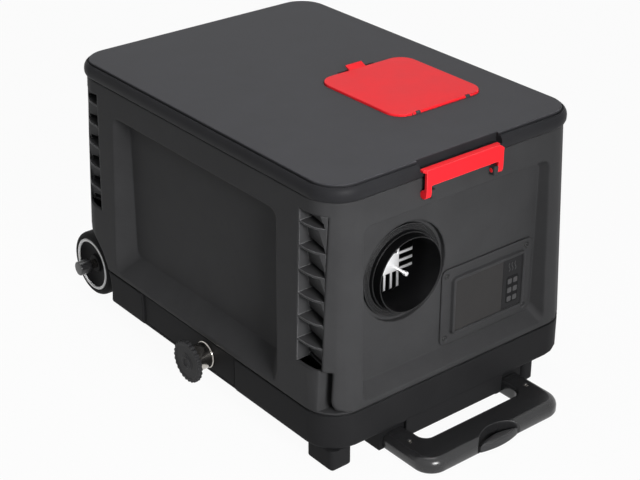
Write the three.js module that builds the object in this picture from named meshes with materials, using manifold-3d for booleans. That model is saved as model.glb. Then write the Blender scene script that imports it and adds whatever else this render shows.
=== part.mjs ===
// A portable diesel air heater built into a wheeled trolley case.
// Millimetres, +Z up, standing on the ground at z = 0. The hot-air outlet, the control panel and the
// pull handle face -Y, the wheels and the lid hinge are at +Y, and the exhaust leaves on -X.
// While it is drawn, x = 0 is the middle of the case and y = 0 the front edge of its rim.
import * as THREE from 'three';
import { mergeVertices } from 'three/addons/utils/BufferGeometryUtils.js';
import Module from 'manifold-3d';

// Clearances
const fit = 0.3; // between pieces that touch or slide
const overrun = 5; // how far a cutting shape runs past what it cuts

// Case: an open box whose sides lean out towards the bottom
const caseWidth = 304.6; // at the rim
const caseLength = 416.5; // at the rim
const tankHeadroom = 41; // least from the fuel tank's top to the rim
const ductHeadroom = 94.3; // least from the outlet's axis to the rim
const caseDraft = 6.1; // how far each side leans out over the whole height
const caseCorner = 33.6;
const caseWall = 3;
const caseFloor = 3;
const caseLift = 62; // ground to the bottom of the case
const rimWidth = 9.5; // flange round the inside of the rim
const rimThickness = 4;

// Recessed panels in the four faces of the case
const recessTop = 26; // below the rim
const recessBottom = 4.5; // above the bottom of the case
const recessCorner = 9;
const recessTopSlope = 6;
const frontPost = 34.3; // from the case's side at its rim to the recess
const frontRecessDepth = 9;
const frontRecessSideSlope = 6.5;
const frontRecessFootSlope = 12;
const rearPost = 34.3;
const rearRecessBottom = 46; // above the bottom of the case
const sideRecessStart = 70; // from the front edge of the rim
const sideRecessLength = 281;
const sideRecessDepth = 12;
const sideRecessEndSlope = 17;
const sideRecessFootSlope = 20;

// Louvers in the four corners of the case
const louverTop = 13.3; // below the rim
const louverFoot = 43.5; // above the bottom of the case, at the front
const louverFirst = 11.5; // height of the top louver, which is the shortest
const frontLouverCount = 7;
const rearLouverCount = 6;
const louverNear = 12; // from the end face of the case
const louverFar = 43;
const louverDepth = 13; // from the side face of the case at its rim
const louverBlade = 2;
const louverBack = 3;
const louverGap = 5;
const louverEnd = 1.5; // wall at the far end
// Depths of a louver's sloping back: at its top and foot, near the case's end face and far from it
const louverNearDepths = [1.5, 5.5];
const louverFarDepths = [6.5, 11];

// Blind slots below the front louvers, each with a foot that flares towards the front
const slotNear = 4;
const slotFar = 14;
const slotDepth = 22;
const slotFloor = 1.2;
const slotFlareReach = 12;
const slotFlareHeight = 14.5;
const slotFlareSteps = 4;

// Wheel arches in the rear lower corners
const archRadius = 68;
const archDepth = 42.3; // inwards from the case's side at its rim

// Hot-air outlet and the axis of the heater behind it
const ductRadius = 37.5;
const ductWall = 1.5;
const ductLength = 62;
const ductInset = 94.95; // from the case's side at its rim
const ductZ = 177;
const pocketRadius = 50;
const pocketDepth = 6;
const collarRadius = 46.3;
const collarThickness = 2.7;
const collarNeck = 3;
const collarNeckWall = 2;

// Control panel
const bezelGap = 8.35; // from the outlet tube
const bezelSide = 3; // from the side of the recess's floor
const bezelBottom = 79;
const bezelHeight = 82;
const bezelThickness = 1.7;
const bezelCorner = 7;
const frameInset = 14.5; // from the bezel's left edge to the raised frame
const frameEnd = 11.5; // from the raised frame to the bezel's right edge
const frameLift = 10.5;
const frameDrop = 11.5; // below the bezel's top edge
const frameRise = 4.6;
const frameWall = 3.2;
const frameCorner = 5;
const panelThickness = 2.2;
const panelSetback = 1.4;
const ledgeWidth = 2; // that the display and the keys rest on
const keypadWidth = 25;
const boardThickness = 1.6;
const boardMargin = 3;
const chipHeight = 4;
const chipShare = 0.5; // of the room that each has on the board
const chipCount = 3;

// Base tray and its side plates
const trayHeight = 38.7;
const traySeam = 0.3;
const trayWall = 3;
const apronDrop = 16.5; // of the front wall between the handle's sleeves, below the tray
const apronWall = 2.6;
const trayFloor = 3;
const trayEdge = 4;
const trayEdgeShare = 0.3; // of the edge, where its rounding is halfway
const trayRebate = 1.8;
const trayRebateHeight = 2;
const plateStart = 138;
const plateLength = 164;
const plateSetback = 2.2; // behind the tray's side

// Exhaust
const exhaustY = 189;
const exhaustZ = 40.8;
const stubRadius = 13.4;
const stubWall = 1.1;
const stubReach = 17; // out of the side plate
const stubInside = 6; // behind the side plate
const exhaustPipeWall = 2;
const stubRing = 2; // beyond the stub's radius
const stubRingWidth = 2.4;
const exhaustBend = 17;
const capRadius = 22;
const capThickness = 5;
const capPlug = 9;
const capScallops = 26;
const capScallopDepth = 1.3;
const capBoss = 6.5;
const capBossRise = 0.9;

// Combustion air pipe
const airY = 226;
const airPipeRadius = 10.5;
const airPipeWall = 2;

// Lid
const lidSide = 3.5; // from the case's side at its rim to the lid's plate
const lidFront = 3.2;
const lidBack = 3.3;
const lidHeight = 16.2;
const lidCorner = 28.7;
const beadOverhang = 5.4;
// Lid's edge from below: shares of the lid's height and of the bead's overhang
const beadShares = [[0, 0.65], [0.22, 0.97], [0.5, 0.95], [0.72, 0.6], [0.84, 0.12], [1, 0]];
const lidEdge = 10; // solid rim of the lid, inwards from the case's face
const lidRoof = 3.7;
const sealWidth = 2.7;
const sealDepth = 2.3;
const sealInset = 5.6;
const notchCentre = -2.3;
const notchWidth = 100.5;
const notchDepth = 3; // behind the plate's edge

// Lid hinge
const hingeBack = 7.5; // behind the case's rear face
const hingeDrop = 4; // below the lid
const hingeKnuckle = 4.6;
const hingePinRadius = 2;
const hingeWidth = 101;
const hingeMiddle = 1.5;
const hingeLeafShare = 0.6; // of the width, the lid's own knuckle
const hingeArm = 5;

// Latch
const latchWidth = 94.5;
const latchPlateDrop = 6.5; // below the lid's top
const latchPlateHeight = 16.1;
const latchPlate = 3;
const latchFace = 8; // in front of the rim
const latchLip = 2.6;
const latchHook = 6.8; // reach of the lip behind the latch's face
const latchLipMargin = 0.8; // between the lip's ends and the notch
const latchArm = 6;
const latchPivotDrop = 25; // below the plate's top
const latchPivotY = -3.5;
const latchPivotRadius = 2.2;
const latchEye = 4.2;
const latchEarWidth = 5;

// Filler cover in the lid
const coverLeft = -3.5;
const coverWidth = 113;
const coverFront = 82;
const coverLength = 122;
const coverCorner = 18;
const coverThickness = 3.7;
const coverProud = 2;
const coverGap = 0.4;
const coverBarrel = 1.5;
const coverPinRadius = 0.7;
const coverEarLength = 5.2;
const coverEarStart = 22; // from the cover's side
const wellMargin = 12;
const tabLeft = 38.7;
const tabWidth = 20.7;
const tabReach = 7;
const tabRise = 3.2;
const tabThickness = 2;
const fingerLeft = 27;
const fingerWidth = 47;
const fingerReach = 6;
const fingerDepth = 3;

// Fuel tank, pump and lines
const tankHeaterGap = 13.35;
const tankSideGap = 2.3; // from the inside of the side recess
const tankFront = 60;
const tankLength = 245;
const tankHeight = 165;
const tankCorner = 16;
const tankWall = 3;
const neckRadius = 22;
const neckHeight = 34;
const neckWall = 3;
const tankCapRadius = 28;
const tankCapHeight = 15;
const tankCapTop = 4;
const pumpGap = 1.35; // from the pipes
const pumpFront = 150;
const pumpLength = 90;
const pumpRadius = 14;
const pumpNeck = 4;
const pumpNeckLength = 8;
const pumpRise = 20; // axis above the case's floor
const saddleWidth = 8;
const saddleInset = 12;
const hoseRadius = 2.6;
const spigotLength = 8;
const spigotY = 110; // on the tank's side
const feedY = 270; // under the heater

// Heater behind the outlet
const heaterHalf = 58;
const heaterFront = 50;
const heaterLength = 280;
const heaterCorner = 24;
const heaterEndHalf = 50;
const heaterTaper = 22;
const heaterWall = 3;
const heaterIntake = 44;
const bracketWall = 3;
const bracketMargin = 12;
const bracketLeg = 28;
const exchangerStart = 27.5;
const exchangerEnd = 236;
const exchangerRadius = 20;
const exchangerWall = 4;
const finReach = 34;
const finSlope = 8.5; // by which the front fins' ends lean back
const finThickness = 2.5;
const finPitch = 8;
const sensorReach = 12.5; // in front of the fins
const sensorRadius = 1.5;
const sensorTip = 2.3;
const sensorTipLength = 4;
const frontFinEnd = 66;
const frontFinPlate = 3;
const ribReach = 45;
const ribEnd = 200;
const ribCount = 12;
const portRadius = 12;
const portWall = 2;
const portDrop = 8; // below the heater's case
const burnerStart = 120;
const burnerRadius = 13;
const burnerWall = 1.5;
const burnerFlange = 28;
const burnerFlangeThickness = 3;
const plugY = 220;
const plugRadius = 3;
const plugHead = 6;
const plugBoss = 8;
const plugBossHeight = 6;
const plugBodyHeight = 12;
const plugHeadHeight = 7;

// Blower
const impellerStart = 244;
const impellerRadius = 28;
const impellerDisc = 2.5;
const impellerVane = 8;
const impellerCount = 10;
const impellerHub = 9;
const motorStart = 262;
const motorRadius = 23;
const motorLength = 26;
const motorPlate = 3;
const motorArm = 24;
const shaftRadius = 3;
const fanStart = 296;
const fanHub = 13;
const fanHubLength = 12;
const fanReach = 40;
const fanBlade = 1.8;
const fanChord = 16;
const fanPitch = 35; // degrees
const fanCount = 7;

// Rear grille, duct and power inlet
const grilleRadius = 50;
const grilleThickness = 3;
const grilleSlot = 5;
const grilleBar = 5;
const grilleRim = 9;
const intakeDuctWall = 2;
const inletInset = 70.6; // from the case's side at its rim
const inletZ = 140;
const inletWidth = 27.5;
const inletHeight = 20;
const inletDepth = 22;
const inletWall = 2;
const inletFlange = 11;
const inletFlangeRise = 3;
const inletFlangeThickness = 3;
const inletPin = 2;
const inletPinPitch = 7;
const inletPinLength = 14;

// Wheels and axle
const wheelRadius = 36.5;
const wheelWidth = 24;
const wheelInset = 9.3; // outer face, inside the case's side at its rim
const wheelY = 429;
const tyreInner = 29.9;
const tyreRound = 4;
const hubDish = 7;
const hubWeb = 4;
const hubRim = 3.4;
const hubBoss = 10;
const hubBossFace = 4; // from the wheel's outer face
const hubBack = 20;
const ringWidth = 2.6;
const ringThickness = 1.6;
const axleRadius = 5;
const axleCapRadius = 8;
const axleCapLength = 14;
const axleCapFaces = 6;
const capGap = 3; // from the wheel's outer face
const lugWidth = 18;
const lugInset = 4;
const lugRadius = 10;

// Feet under the front corners
const leftFootInset = 7.9; // from the tray's left side
const leftFootWidth = 25;
const leftFootFront = -1; // from the front edge of the rim
const rightFootInset = 46.4; // from the tray's right side
const rightFootWidth = 15.5;
const rightFootFront = -3;
const footLength = 38;
const footCorner = 5;
const footEdge = 3;

// Pull handle
const handleInset = 68.6; // from the tray's side to the arm's outer side
const handleArm = 26;
const handleBottom = 1.5;
const handleHeight = 17;
const handleBar = 35;
const handleGap = 30; // from the sleeves' mouths to the bar
const handleCorner = 20;
const handleEdge = 6;
const sleeveMouth = -2; // from the front edge of the rim
const sleeveLength = 385;
const sleeveWall = 4;
const tubeWidth = 19;
const tubeHeight = 11;
const tubeWall = 1.5;
const tubeInGrip = 24;
const tubeLength = 375;
const tubePlay = 0.5;
const buttonWidth = 50;
const buttonHeight = 12;
const buttonRise = 4;
const buttonStem = 8;
const buttonTravel = 3;
const buttonFaceShare = 0.86; // of its width and height

// Finishes: colour, roughness, metalness
const finishes = {
  casing: [0x3a3a3b, 0.55, 0],
  lid: [0x4c4c4f, 0.5, 0],
  red: [0xee3138, 0.4, 0],
  black: [0x1c1c1d, 0.6, 0],
  rubber: [0x1a1a1a, 0.9, 0],
  aluminium: [0xc9cbcd, 0.35, 1],
  steel: [0xb8b8b8, 0.25, 1],
  white: [0xf0f0f0, 0.5, 0],
  display: [0x434345, 0.2, 0],
  tank: [0xe6e2d6, 0.6, 0],
  board: [0x1f5b34, 0.6, 0],
  hose: [0x2a2a2a, 0.7, 0],
};

// Counts of flat faces on round shapes
const fewSides = 10;
const someSides = 16;
const wheelSides = 20;
const manySides = 28;
const cornerSteps = 3;
const caseSteps = 5;
const hexSides = 6;
const pipeSides = 16;
const bendSteps = 4;
const hoseSides = 6;
const hoseSteps = 12;

const wasm = await Module();
wasm.setup();

const heater = new THREE.Group();

// Solid of a closed three.js geometry, with its faces pointing out
function solidOf(geometry) {
  const bare = geometry.clone();
  bare.deleteAttribute('normal');
  bare.deleteAttribute('uv');
  const merged = mergeVertices(bare);
  const points = merged.attributes.position.array;
  const corners = [];
  let volume = 0;
  for (let i = 0; i < merged.index.count; i += 3) {
    const [a, b, c] = merged.index.array.slice(i, i + 3);
    if (a === b || b === c || c === a) {
      continue;
    }
    corners.push(a, b, c);
    const [p, q, r] = [a, b, c].map((k) => new THREE.Vector3().fromArray(points, k + k + k));
    volume += p.dot(q.cross(r));
  }
  if (volume < 0) {
    corners.reverse();
  }
  return new wasm.Manifold(new wasm.Mesh({
    numProp: 3,
    vertProperties: Float32Array.from(points),
    triVerts: Uint32Array.from(corners),
  }));
}

// Named mesh of a solid, added to the heater
function piece(name, solid, finish) {
  const { vertProperties, triVerts } = solid.getMesh();
  const geometry = new THREE.BufferGeometry();
  geometry.setAttribute('position', new THREE.BufferAttribute(vertProperties, 3));
  geometry.setIndex(new THREE.BufferAttribute(triVerts, 1));
  geometry.computeVertexNormals();
  const [color, roughness, metalness] = finishes[finish];
  const mesh = new THREE.Mesh(geometry, new THREE.MeshStandardMaterial({ color, roughness, metalness }));
  mesh.name = name;
  heater.add(mesh);
}

// Block between two values on each axis
function block(x, y, z) {
  const shape = new THREE.BoxGeometry(x[1] - x[0], y[1] - y[0], z[1] - z[0]);
  shape.translate((x[0] + x[1]) / 2, (y[0] + y[1]) / 2, (z[0] + z[1]) / 2);
  return solidOf(shape);
}

// Turned solid: the profile is radius and place along the axis, the centre its other two places
function turned(axis, centre, profile, sides = someSides) {
  const points = profile.map(([radius, at]) => new THREE.Vector2(radius, at));
  const shape = new THREE.LatheGeometry(points, sides);
  if (axis === 'z') {
    shape.rotateX(Math.PI / 2);
    shape.translate(centre[0], centre[1], 0);
  } else if (axis === 'x') {
    shape.rotateZ(-Math.PI / 2);
    shape.translate(0, centre[0], centre[1]);
  } else {
    shape.translate(centre[0], 0, centre[1]);
  }
  return solidOf(shape);
}

function rod(axis, centre, radius, span, sides = someSides) {
  return turned(axis, centre, [[0, span[0]], [radius, span[0]], [radius, span[1]], [0, span[1]]], sides);
}

function tube(axis, centre, radii, span, sides = someSides) {
  const [inner, outer] = radii;
  const [start, end] = span;
  const section = [[inner, start], [outer, start], [outer, end], [inner, end], [inner, start]];
  return turned(axis, centre, section, sides);
}

// Rounded rectangle as a ring of points on a plane square to an axis
function roundedRing(axis, at, u, v, radius, steps = cornerSteps) {
  const centres = [
    [u[1] - radius, v[0] + radius],
    [u[1] - radius, v[1] - radius],
    [u[0] + radius, v[1] - radius],
    [u[0] + radius, v[0] + radius],
  ];
  const ring = [];
  centres.forEach(([cu, cv], corner) => {
    for (let step = 0; step <= steps; step += 1) {
      const angle = (Math.PI / 2) * (corner - 1 + step / steps);
      const a = cu + radius * Math.cos(angle);
      const b = cv + radius * Math.sin(angle);
      ring.push({ x: [at, a, b], y: [a, at, b], z: [a, b, at] }[axis]);
    }
  });
  return ring;
}

// Solid through a stack of rings with as many points each
function loft(rings) {
  const count = rings[0].length;
  const index = [];
  for (let k = 0; k < rings.length - 1; k += 1) {
    for (let i = 0; i < count; i += 1) {
      const a = k * count + i;
      const b = k * count + (i + 1) % count;
      index.push(a, b, b + count, a, b + count, a + count);
    }
  }
  const last = (rings.length - 1) * count;
  for (let i = 1; i < count - 1; i += 1) {
    index.push(0, i + 1, i, last, last + i, last + i + 1);
  }
  const shape = new THREE.BufferGeometry();
  shape.setAttribute('position', new THREE.Float32BufferAttribute(rings.flat(2), 3));
  shape.setIndex(index);
  return solidOf(shape);
}

// Prism of an outline of [u, v] points, from one place along the axis to another
function prism(axis, outline, span) {
  const ringAt = (at) => outline.map(([a, b]) => ({ x: [at, a, b], y: [a, at, b], z: [a, b, at] }[axis]));
  return loft([ringAt(span[0]), ringAt(span[1])]);
}

// Round hose along a smooth curve through its points
function hose(points, radius, sides, steps) {
  const section = new THREE.Shape();
  for (let i = 0; i < sides; i += 1) {
    const angle = (2 * Math.PI * i) / sides;
    section[i ? 'lineTo' : 'moveTo'](radius * Math.cos(angle), radius * Math.sin(angle));
  }
  const path = new THREE.CatmullRomCurve3(points.map((p) => new THREE.Vector3(...p)));
  return solidOf(new THREE.ExtrudeGeometry(section, { steps, extrudePath: path }));
}

function joined(solids) {
  return solids.reduce((all, next) => all.add(next));
}

// Two places in rising order
function ordered(a, b) {
  return a < b ? [a, b] : [b, a];
}

// Span lengthened at both ends, for a shape that cuts right through
function beyond([start, end]) {
  return [start - overrun, end + overrun];
}

// Places worked out from the sizes
const caseBottom = caseLift;
const floorTop = caseBottom + caseFloor;
const tankBottom = floorTop + fit;
const tankTop = tankBottom + tankHeight;
const caseTop = Math.max(tankTop + tankHeadroom, ductZ + ductHeadroom);
const caseHeight = caseTop - caseBottom;
const trayTop = caseBottom - traySeam;
const trayBottom = trayTop - trayHeight;
const lidBottom = caseTop + fit;
const lidTop = lidBottom + lidHeight;
const latchPlateTop = lidTop - latchPlateDrop;
const latchPivotZ = latchPlateTop - latchPivotDrop;
const sideFace = caseWidth / 2;
const ductX = ductInset - sideFace;
const inletX = sideFace - inletInset;
const ductAxis = [ductX, ductZ];
const recessFloor = frontRecessDepth;
const wallBack = recessFloor + caseWall;
const rearFloor = caseLength - recessFloor;
const rearInside = caseLength - wallBack;
const pocketFloor = recessFloor + pocketDepth;
const wheelZ = wheelRadius;
const wheelAxis = [wheelY, wheelZ];
const wheelFace = sideFace - wheelInset;
const recessSide = sideFace - frontPost - frontRecessSideSlope;
const bezelX = [ductX + ductRadius + bezelGap, recessSide - bezelSide];
const pumpX = ductX + portRadius + pumpGap + pumpRadius;
const archInner = sideFace - archDepth;
const louverRoom = caseHeight - louverTop - louverFirst - louverFoot;
const louverPitch = louverRoom / (frontLouverCount - 1);

// Ring of the case's outline at a height, drawn in by an inset
function caseRing(z, inset = 0) {
  const lean = (caseDraft * (caseTop - z)) / caseHeight;
  const half = sideFace + lean - inset;
  return roundedRing('z', z, [-half, half], [inset - lean, caseLength + lean - inset], caseCorner - inset,
    caseSteps);
}

// Recess in the front or rear face; grow thickens it into the wall behind it
function endRecess(rear, grow = 0) {
  const half = sideFace - (rear ? rearPost : frontPost) + grow;
  const foot = rear ? rearRecessBottom : recessBottom;
  const z = [caseBottom + foot - grow, caseTop - recessTop + grow];
  const floorHalf = half - frontRecessSideSlope;
  const floorZ = [z[0] + frontRecessFootSlope, z[1] - recessTopSlope];
  const place = (y) => (rear ? caseLength - y : y);
  const mouth = -caseDraft;
  return loft([
    roundedRing('y', place(mouth - overrun), [-half, half], z, recessCorner),
    roundedRing('y', place(mouth), [-half, half], z, recessCorner),
    roundedRing('y', place(recessFloor + grow), [-floorHalf, floorHalf], floorZ, recessCorner),
  ]);
}

// Recess in a long side
function sideRecess(side, grow = 0) {
  const y = [sideRecessStart - grow, sideRecessStart + sideRecessLength + grow];
  const z = [caseBottom + recessBottom - grow, caseTop - recessTop + grow];
  const floorY = [y[0] + sideRecessEndSlope, y[1] - sideRecessEndSlope];
  const floorZ = [z[0] + sideRecessFootSlope, z[1] - recessTopSlope];
  const mouth = sideFace + caseDraft;
  return loft([
    roundedRing('x', side * (mouth + overrun), y, z, recessCorner),
    roundedRing('x', side * mouth, y, z, recessCorner),
    roundedRing('x', side * (sideFace - sideRecessDepth - grow), floorY, floorZ, recessCorner),
  ]);
}

function wheelArch(side, grow = 0) {
  const span = ordered(side * (archInner - grow), side * (sideFace + caseDraft + overrun));
  return rod('x', wheelAxis, archRadius + grow, span, manySides);
}

const corners = [
  { name: 'front_left', side: -1, rear: false, count: frontLouverCount },
  { name: 'front_right', side: 1, rear: false, count: frontLouverCount },
  { name: 'rear_left', side: -1, rear: true, count: rearLouverCount },
  { name: 'rear_right', side: 1, rear: true, count: rearLouverCount },
];

// Window that a corner's louver insert fills, with an allowance taken off all round
function louverWindow({ side, rear, count }, allowance = 0) {
  const inner = side * (sideFace - louverDepth - louverBack + allowance);
  const x = ordered(inner, side * (sideFace + caseDraft + overrun));
  const near = louverNear + allowance;
  const far = louverFar - allowance;
  const y = rear ? [caseLength - far, caseLength - near] : [near, far];
  const z = [louverFootOf(count - 1) + allowance, caseTop - louverTop - allowance];
  return block(x, y, z);
}

// Height of a louver's foot, counted from the top one
function louverFootOf(index) {
  return caseTop - louverTop - louverFirst - index * louverPitch;
}

// Blind slot below a front louver
function frontSlot(side) {
  const x = ordered(side * (sideFace - slotDepth), side * (sideFace + caseDraft + overrun));
  const foot = caseBottom + slotFloor;
  const outline = [[slotFar, foot], [slotFar, caseBottom + louverFoot], [slotNear, caseBottom + louverFoot]];
  for (let step = 0; step <= slotFlareSteps; step += 1) {
    const angle = (Math.PI / 2) * (step / slotFlareSteps);
    const rise = (slotFlareHeight - slotFloor) * (1 - Math.sin(angle));
    outline.push([slotNear - slotFlareReach * (1 - Math.cos(angle)), foot + rise]);
  }
  return prism('x', outline, x);
}

function caseBody() {
  let hollow = loft([caseRing(floorTop, caseWall), caseRing(caseTop - rimThickness, caseWall)]);
  for (const rear of [false, true]) {
    hollow = hollow.subtract(endRecess(rear, caseWall));
  }
  for (const side of [-1, 1]) {
    const slotX = ordered(side * (sideFace - slotDepth - caseWall), side * (sideFace + caseDraft));
    const slotY = [-caseDraft, slotFar + caseWall];
    const slotZ = [caseBottom, caseBottom + louverFoot + caseWall];
    hollow = hollow
      .subtract(sideRecess(side, caseWall))
      .subtract(wheelArch(side, caseWall))
      .subtract(block(slotX, slotY, slotZ));
  }
  const pocketSpan = [0, pocketFloor + caseWall];
  hollow = hollow.subtract(rod('y', ductAxis, pocketRadius + caseWall, pocketSpan, manySides));
  const mouth = loft([
    caseRing(caseTop - rimThickness - overrun, rimWidth),
    caseRing(caseTop + overrun, rimWidth),
  ]);
  let body = loft([caseRing(caseBottom), caseRing(caseTop)]).subtract(hollow).subtract(mouth);
  for (const rear of [false, true]) {
    body = body.subtract(endRecess(rear));
  }
  for (const side of [-1, 1]) {
    body = body.subtract(sideRecess(side)).subtract(wheelArch(side)).subtract(frontSlot(side));
  }
  for (const corner of corners) {
    body = body.subtract(louverWindow(corner));
  }
  return body;
}

// Holes and sockets in the case for what is mounted on it
function caseFittings(body) {
  let result = body
    .subtract(rod('y', ductAxis, pocketRadius, [-caseDraft, pocketFloor], manySides))
    .subtract(rod('y', ductAxis, ductRadius + fit, [0, pocketFloor + caseWall + overrun], manySides))
    .subtract(rod('y', ductAxis, heaterIntake, [rearInside - overrun, caseLength], manySides));
  const window = panelWindow(frameWall);
  result = result.subtract(block(window.x, [0, wallBack + overrun], window.z));
  const inletX2 = inletWidth / 2 + fit;
  const inletZ2 = inletHeight / 2 + fit;
  result = result.subtract(block(
    [inletX - inletX2, inletX + inletX2],
    [rearInside - overrun, caseLength],
    [inletZ - inletZ2, inletZ + inletZ2],
  ));
  const holes = [[exhaustY, portRadius + fit + fit], [airY, airPipeRadius + fit]];
  for (const [y, radius] of holes) {
    result = result.subtract(rod('z', [ductX, y], radius, [caseBottom - overrun, floorTop + overrun]));
  }
  return joined([result, ...hingeKnuckles(false), ...pumpSaddles()]).subtract(
    rod('x', hingeAxis, hingePinRadius + fit, beyond(hingeSpan), fewSides),
  );
}

// Outside of the raised frame on the control panel, drawn in by an inset
function panelWindow(inset) {
  return {
    x: [bezelX[0] + frameInset + inset, bezelX[1] - frameEnd - inset],
    z: [bezelBottom + frameLift + inset, bezelBottom + bezelHeight - frameDrop - inset],
  };
}

// Lid hinge, shared by the case and the lid
const hingeAxis = [caseLength + hingeBack, lidBottom - hingeDrop];
const hingeHalf = hingeWidth / 2;
const leafHalf = hingeHalf * hingeLeafShare;
const hingeSpan = [hingeMiddle - hingeHalf, hingeMiddle + hingeHalf];
const leafSpan = [hingeMiddle - leafHalf, hingeMiddle + leafHalf];

function hingeKnuckles(onLid) {
  const spans = onLid
    ? [[leafSpan[0] + fit, leafSpan[1] - fit]]
    : [[hingeSpan[0], leafSpan[0]], [leafSpan[1], hingeSpan[1]]];
  return spans.flatMap((x) => {
    const barrel = rod('x', hingeAxis, hingeKnuckle, x, fewSides);
    const armFoot = hingeAxis[1] - hingeKnuckle;
    const arm = onLid
      ? block(x, [caseLength - lidEdge / 2, hingeAxis[0]], [lidBottom, lidBottom + hingeArm])
        .add(block(x, [hingeAxis[0] - hingeKnuckle / 2, hingeAxis[0] + hingeKnuckle / 2],
          [hingeAxis[1], lidBottom + hingeArm]))
      : block(x, [caseLength - caseWall / 2, hingeAxis[0]], [armFoot, hingeAxis[1]]);
    return [barrel, arm];
  });
}

function pumpSaddles() {
  const axisZ = floorTop + pumpRise;
  const ends = [pumpFront + saddleInset, pumpFront + pumpLength - saddleInset - saddleWidth];
  return ends.map((y) => block(
    [pumpX - pumpRadius, pumpX + pumpRadius],
    [y, y + saddleWidth],
    [floorTop - caseFloor / 2, axisZ],
  ).subtract(rod('y', [pumpX, axisZ], pumpRadius + fit, [y - overrun, y + saddleWidth + overrun])));
}

// Latch: lip, plate, two arms and the stubs that it turns on
const latchAxis = [latchPivotY, latchPivotZ];
const latchX = [notchCentre - latchWidth / 2, notchCentre + latchWidth / 2];

function latchEars() {
  return [-1, 1].map((side) => {
    const armInner = notchCentre + side * (latchWidth / 2 - latchArm - fit);
    const x = ordered(armInner, armInner - side * latchEarWidth);
    const z = [latchPivotZ - latchEye, latchPivotZ + latchEye];
    return block(x, [latchPivotY - latchEye, caseWall / 2], z)
      .subtract(rod('x', latchAxis, latchPivotRadius + fit, beyond(x), fewSides));
  });
}

function latchSockets() {
  return [-1, 1].map((side) => {
    const outer = notchCentre + side * (latchWidth / 2 + fit + fit);
    const x = ordered(outer, outer - side * (latchArm + fit + fit + fit));
    return rod('x', latchAxis, latchEye + fit + fit, x, fewSides);
  });
}

const socketed = latchSockets().reduce((body, socket) => body.subtract(socket), caseFittings(caseBody()));
piece('case_body', joined([socketed, ...latchEars()]), 'casing');

function latch() {
  const face = -latchFace;
  const plateZ = [latchPlateTop - latchPlateHeight, latchPlateTop];
  const lipHalf = notchWidth / 2 - latchLipMargin;
  const lipBack = face + latchHook;
  const lipZ = [latchPlateTop - latchLip, latchPlateTop];
  const shapes = [
    block(latchX, [face, face + latchPlate], plateZ),
    block([notchCentre - lipHalf, notchCentre + lipHalf], [face, lipBack], lipZ),
  ];
  for (const side of [-1, 1]) {
    const outer = notchCentre + side * (latchWidth / 2);
    const inner = outer - side * latchArm;
    const armX = ordered(outer, inner);
    const stubX = ordered(outer - side * (latchArm / 2), inner - side * (latchEarWidth + fit));
    shapes.push(
      block(armX, [face, face + latchPlate], [latchPivotZ, plateZ[0] + latchPlate]),
      rod('x', latchAxis, latchEye, armX, someSides),
      rod('x', latchAxis, latchPivotRadius, stubX, fewSides),
    );
  }
  return joined(shapes);
}
piece('latch', latch(), 'red');

// Louver inserts: blades before backs that slope inwards, with a gap at the foot of each
function louverInsert(corner) {
  const { side, rear, count } = corner;
  const outside = sideFace + caseDraft + overrun;
  const fromEnd = (y) => (rear ? caseLength - y : y);
  let insert = loft([caseRing(caseBottom, fit), caseRing(caseTop, fit)])
    .intersect(louverWindow(corner, fit));
  for (let i = 0; i < count; i += 1) {
    const top = i === 0 ? caseTop - louverTop + overrun : louverFootOf(i - 1) - louverBlade;
    const foot = i === count - 1 ? louverFootOf(i) - overrun : louverFootOf(i);
    const section = (y, [topDepth, footDepth]) => [
      [side * outside, fromEnd(y), top],
      [side * (sideFace - topDepth), fromEnd(y), top],
      [side * (sideFace - footDepth), fromEnd(y), foot],
      [side * outside, fromEnd(y), foot],
    ];
    insert = insert.subtract(loft([
      section(louverNear - overrun, louverNearDepths),
      section(louverNear, louverNearDepths),
      section(louverFar - louverEnd, louverFarDepths),
    ]));
    const gapX = ordered(side * (sideFace - louverDepth - louverBack - overrun), side * sideFace);
    const gapY = ordered(fromEnd(louverNear + louverBack), fromEnd(louverFar - louverEnd));
    const gapFoot = louverFootOf(i) + (i === count - 1 ? louverBack : 0);
    insert = insert.subtract(block(gapX, gapY, [gapFoot, gapFoot + louverGap]));
  }
  return insert;
}
for (const corner of corners) {
  piece(`corner_louver_${corner.name}`, louverInsert(corner), 'casing');
}

// Base tray under the case
const trayHalf = sideFace + caseDraft;
const plateFace = trayHalf - plateSetback;
const plateY = [plateStart, plateStart + plateLength];
const plateZ = [trayBottom + trayEdge, trayTop - trayRebateHeight];

function trayRing(z, inset) {
  const y = [inset - caseDraft, caseLength + caseDraft - inset];
  return roundedRing('z', z, [inset - trayHalf, trayHalf - inset], y, caseCorner - inset, caseSteps);
}

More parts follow.
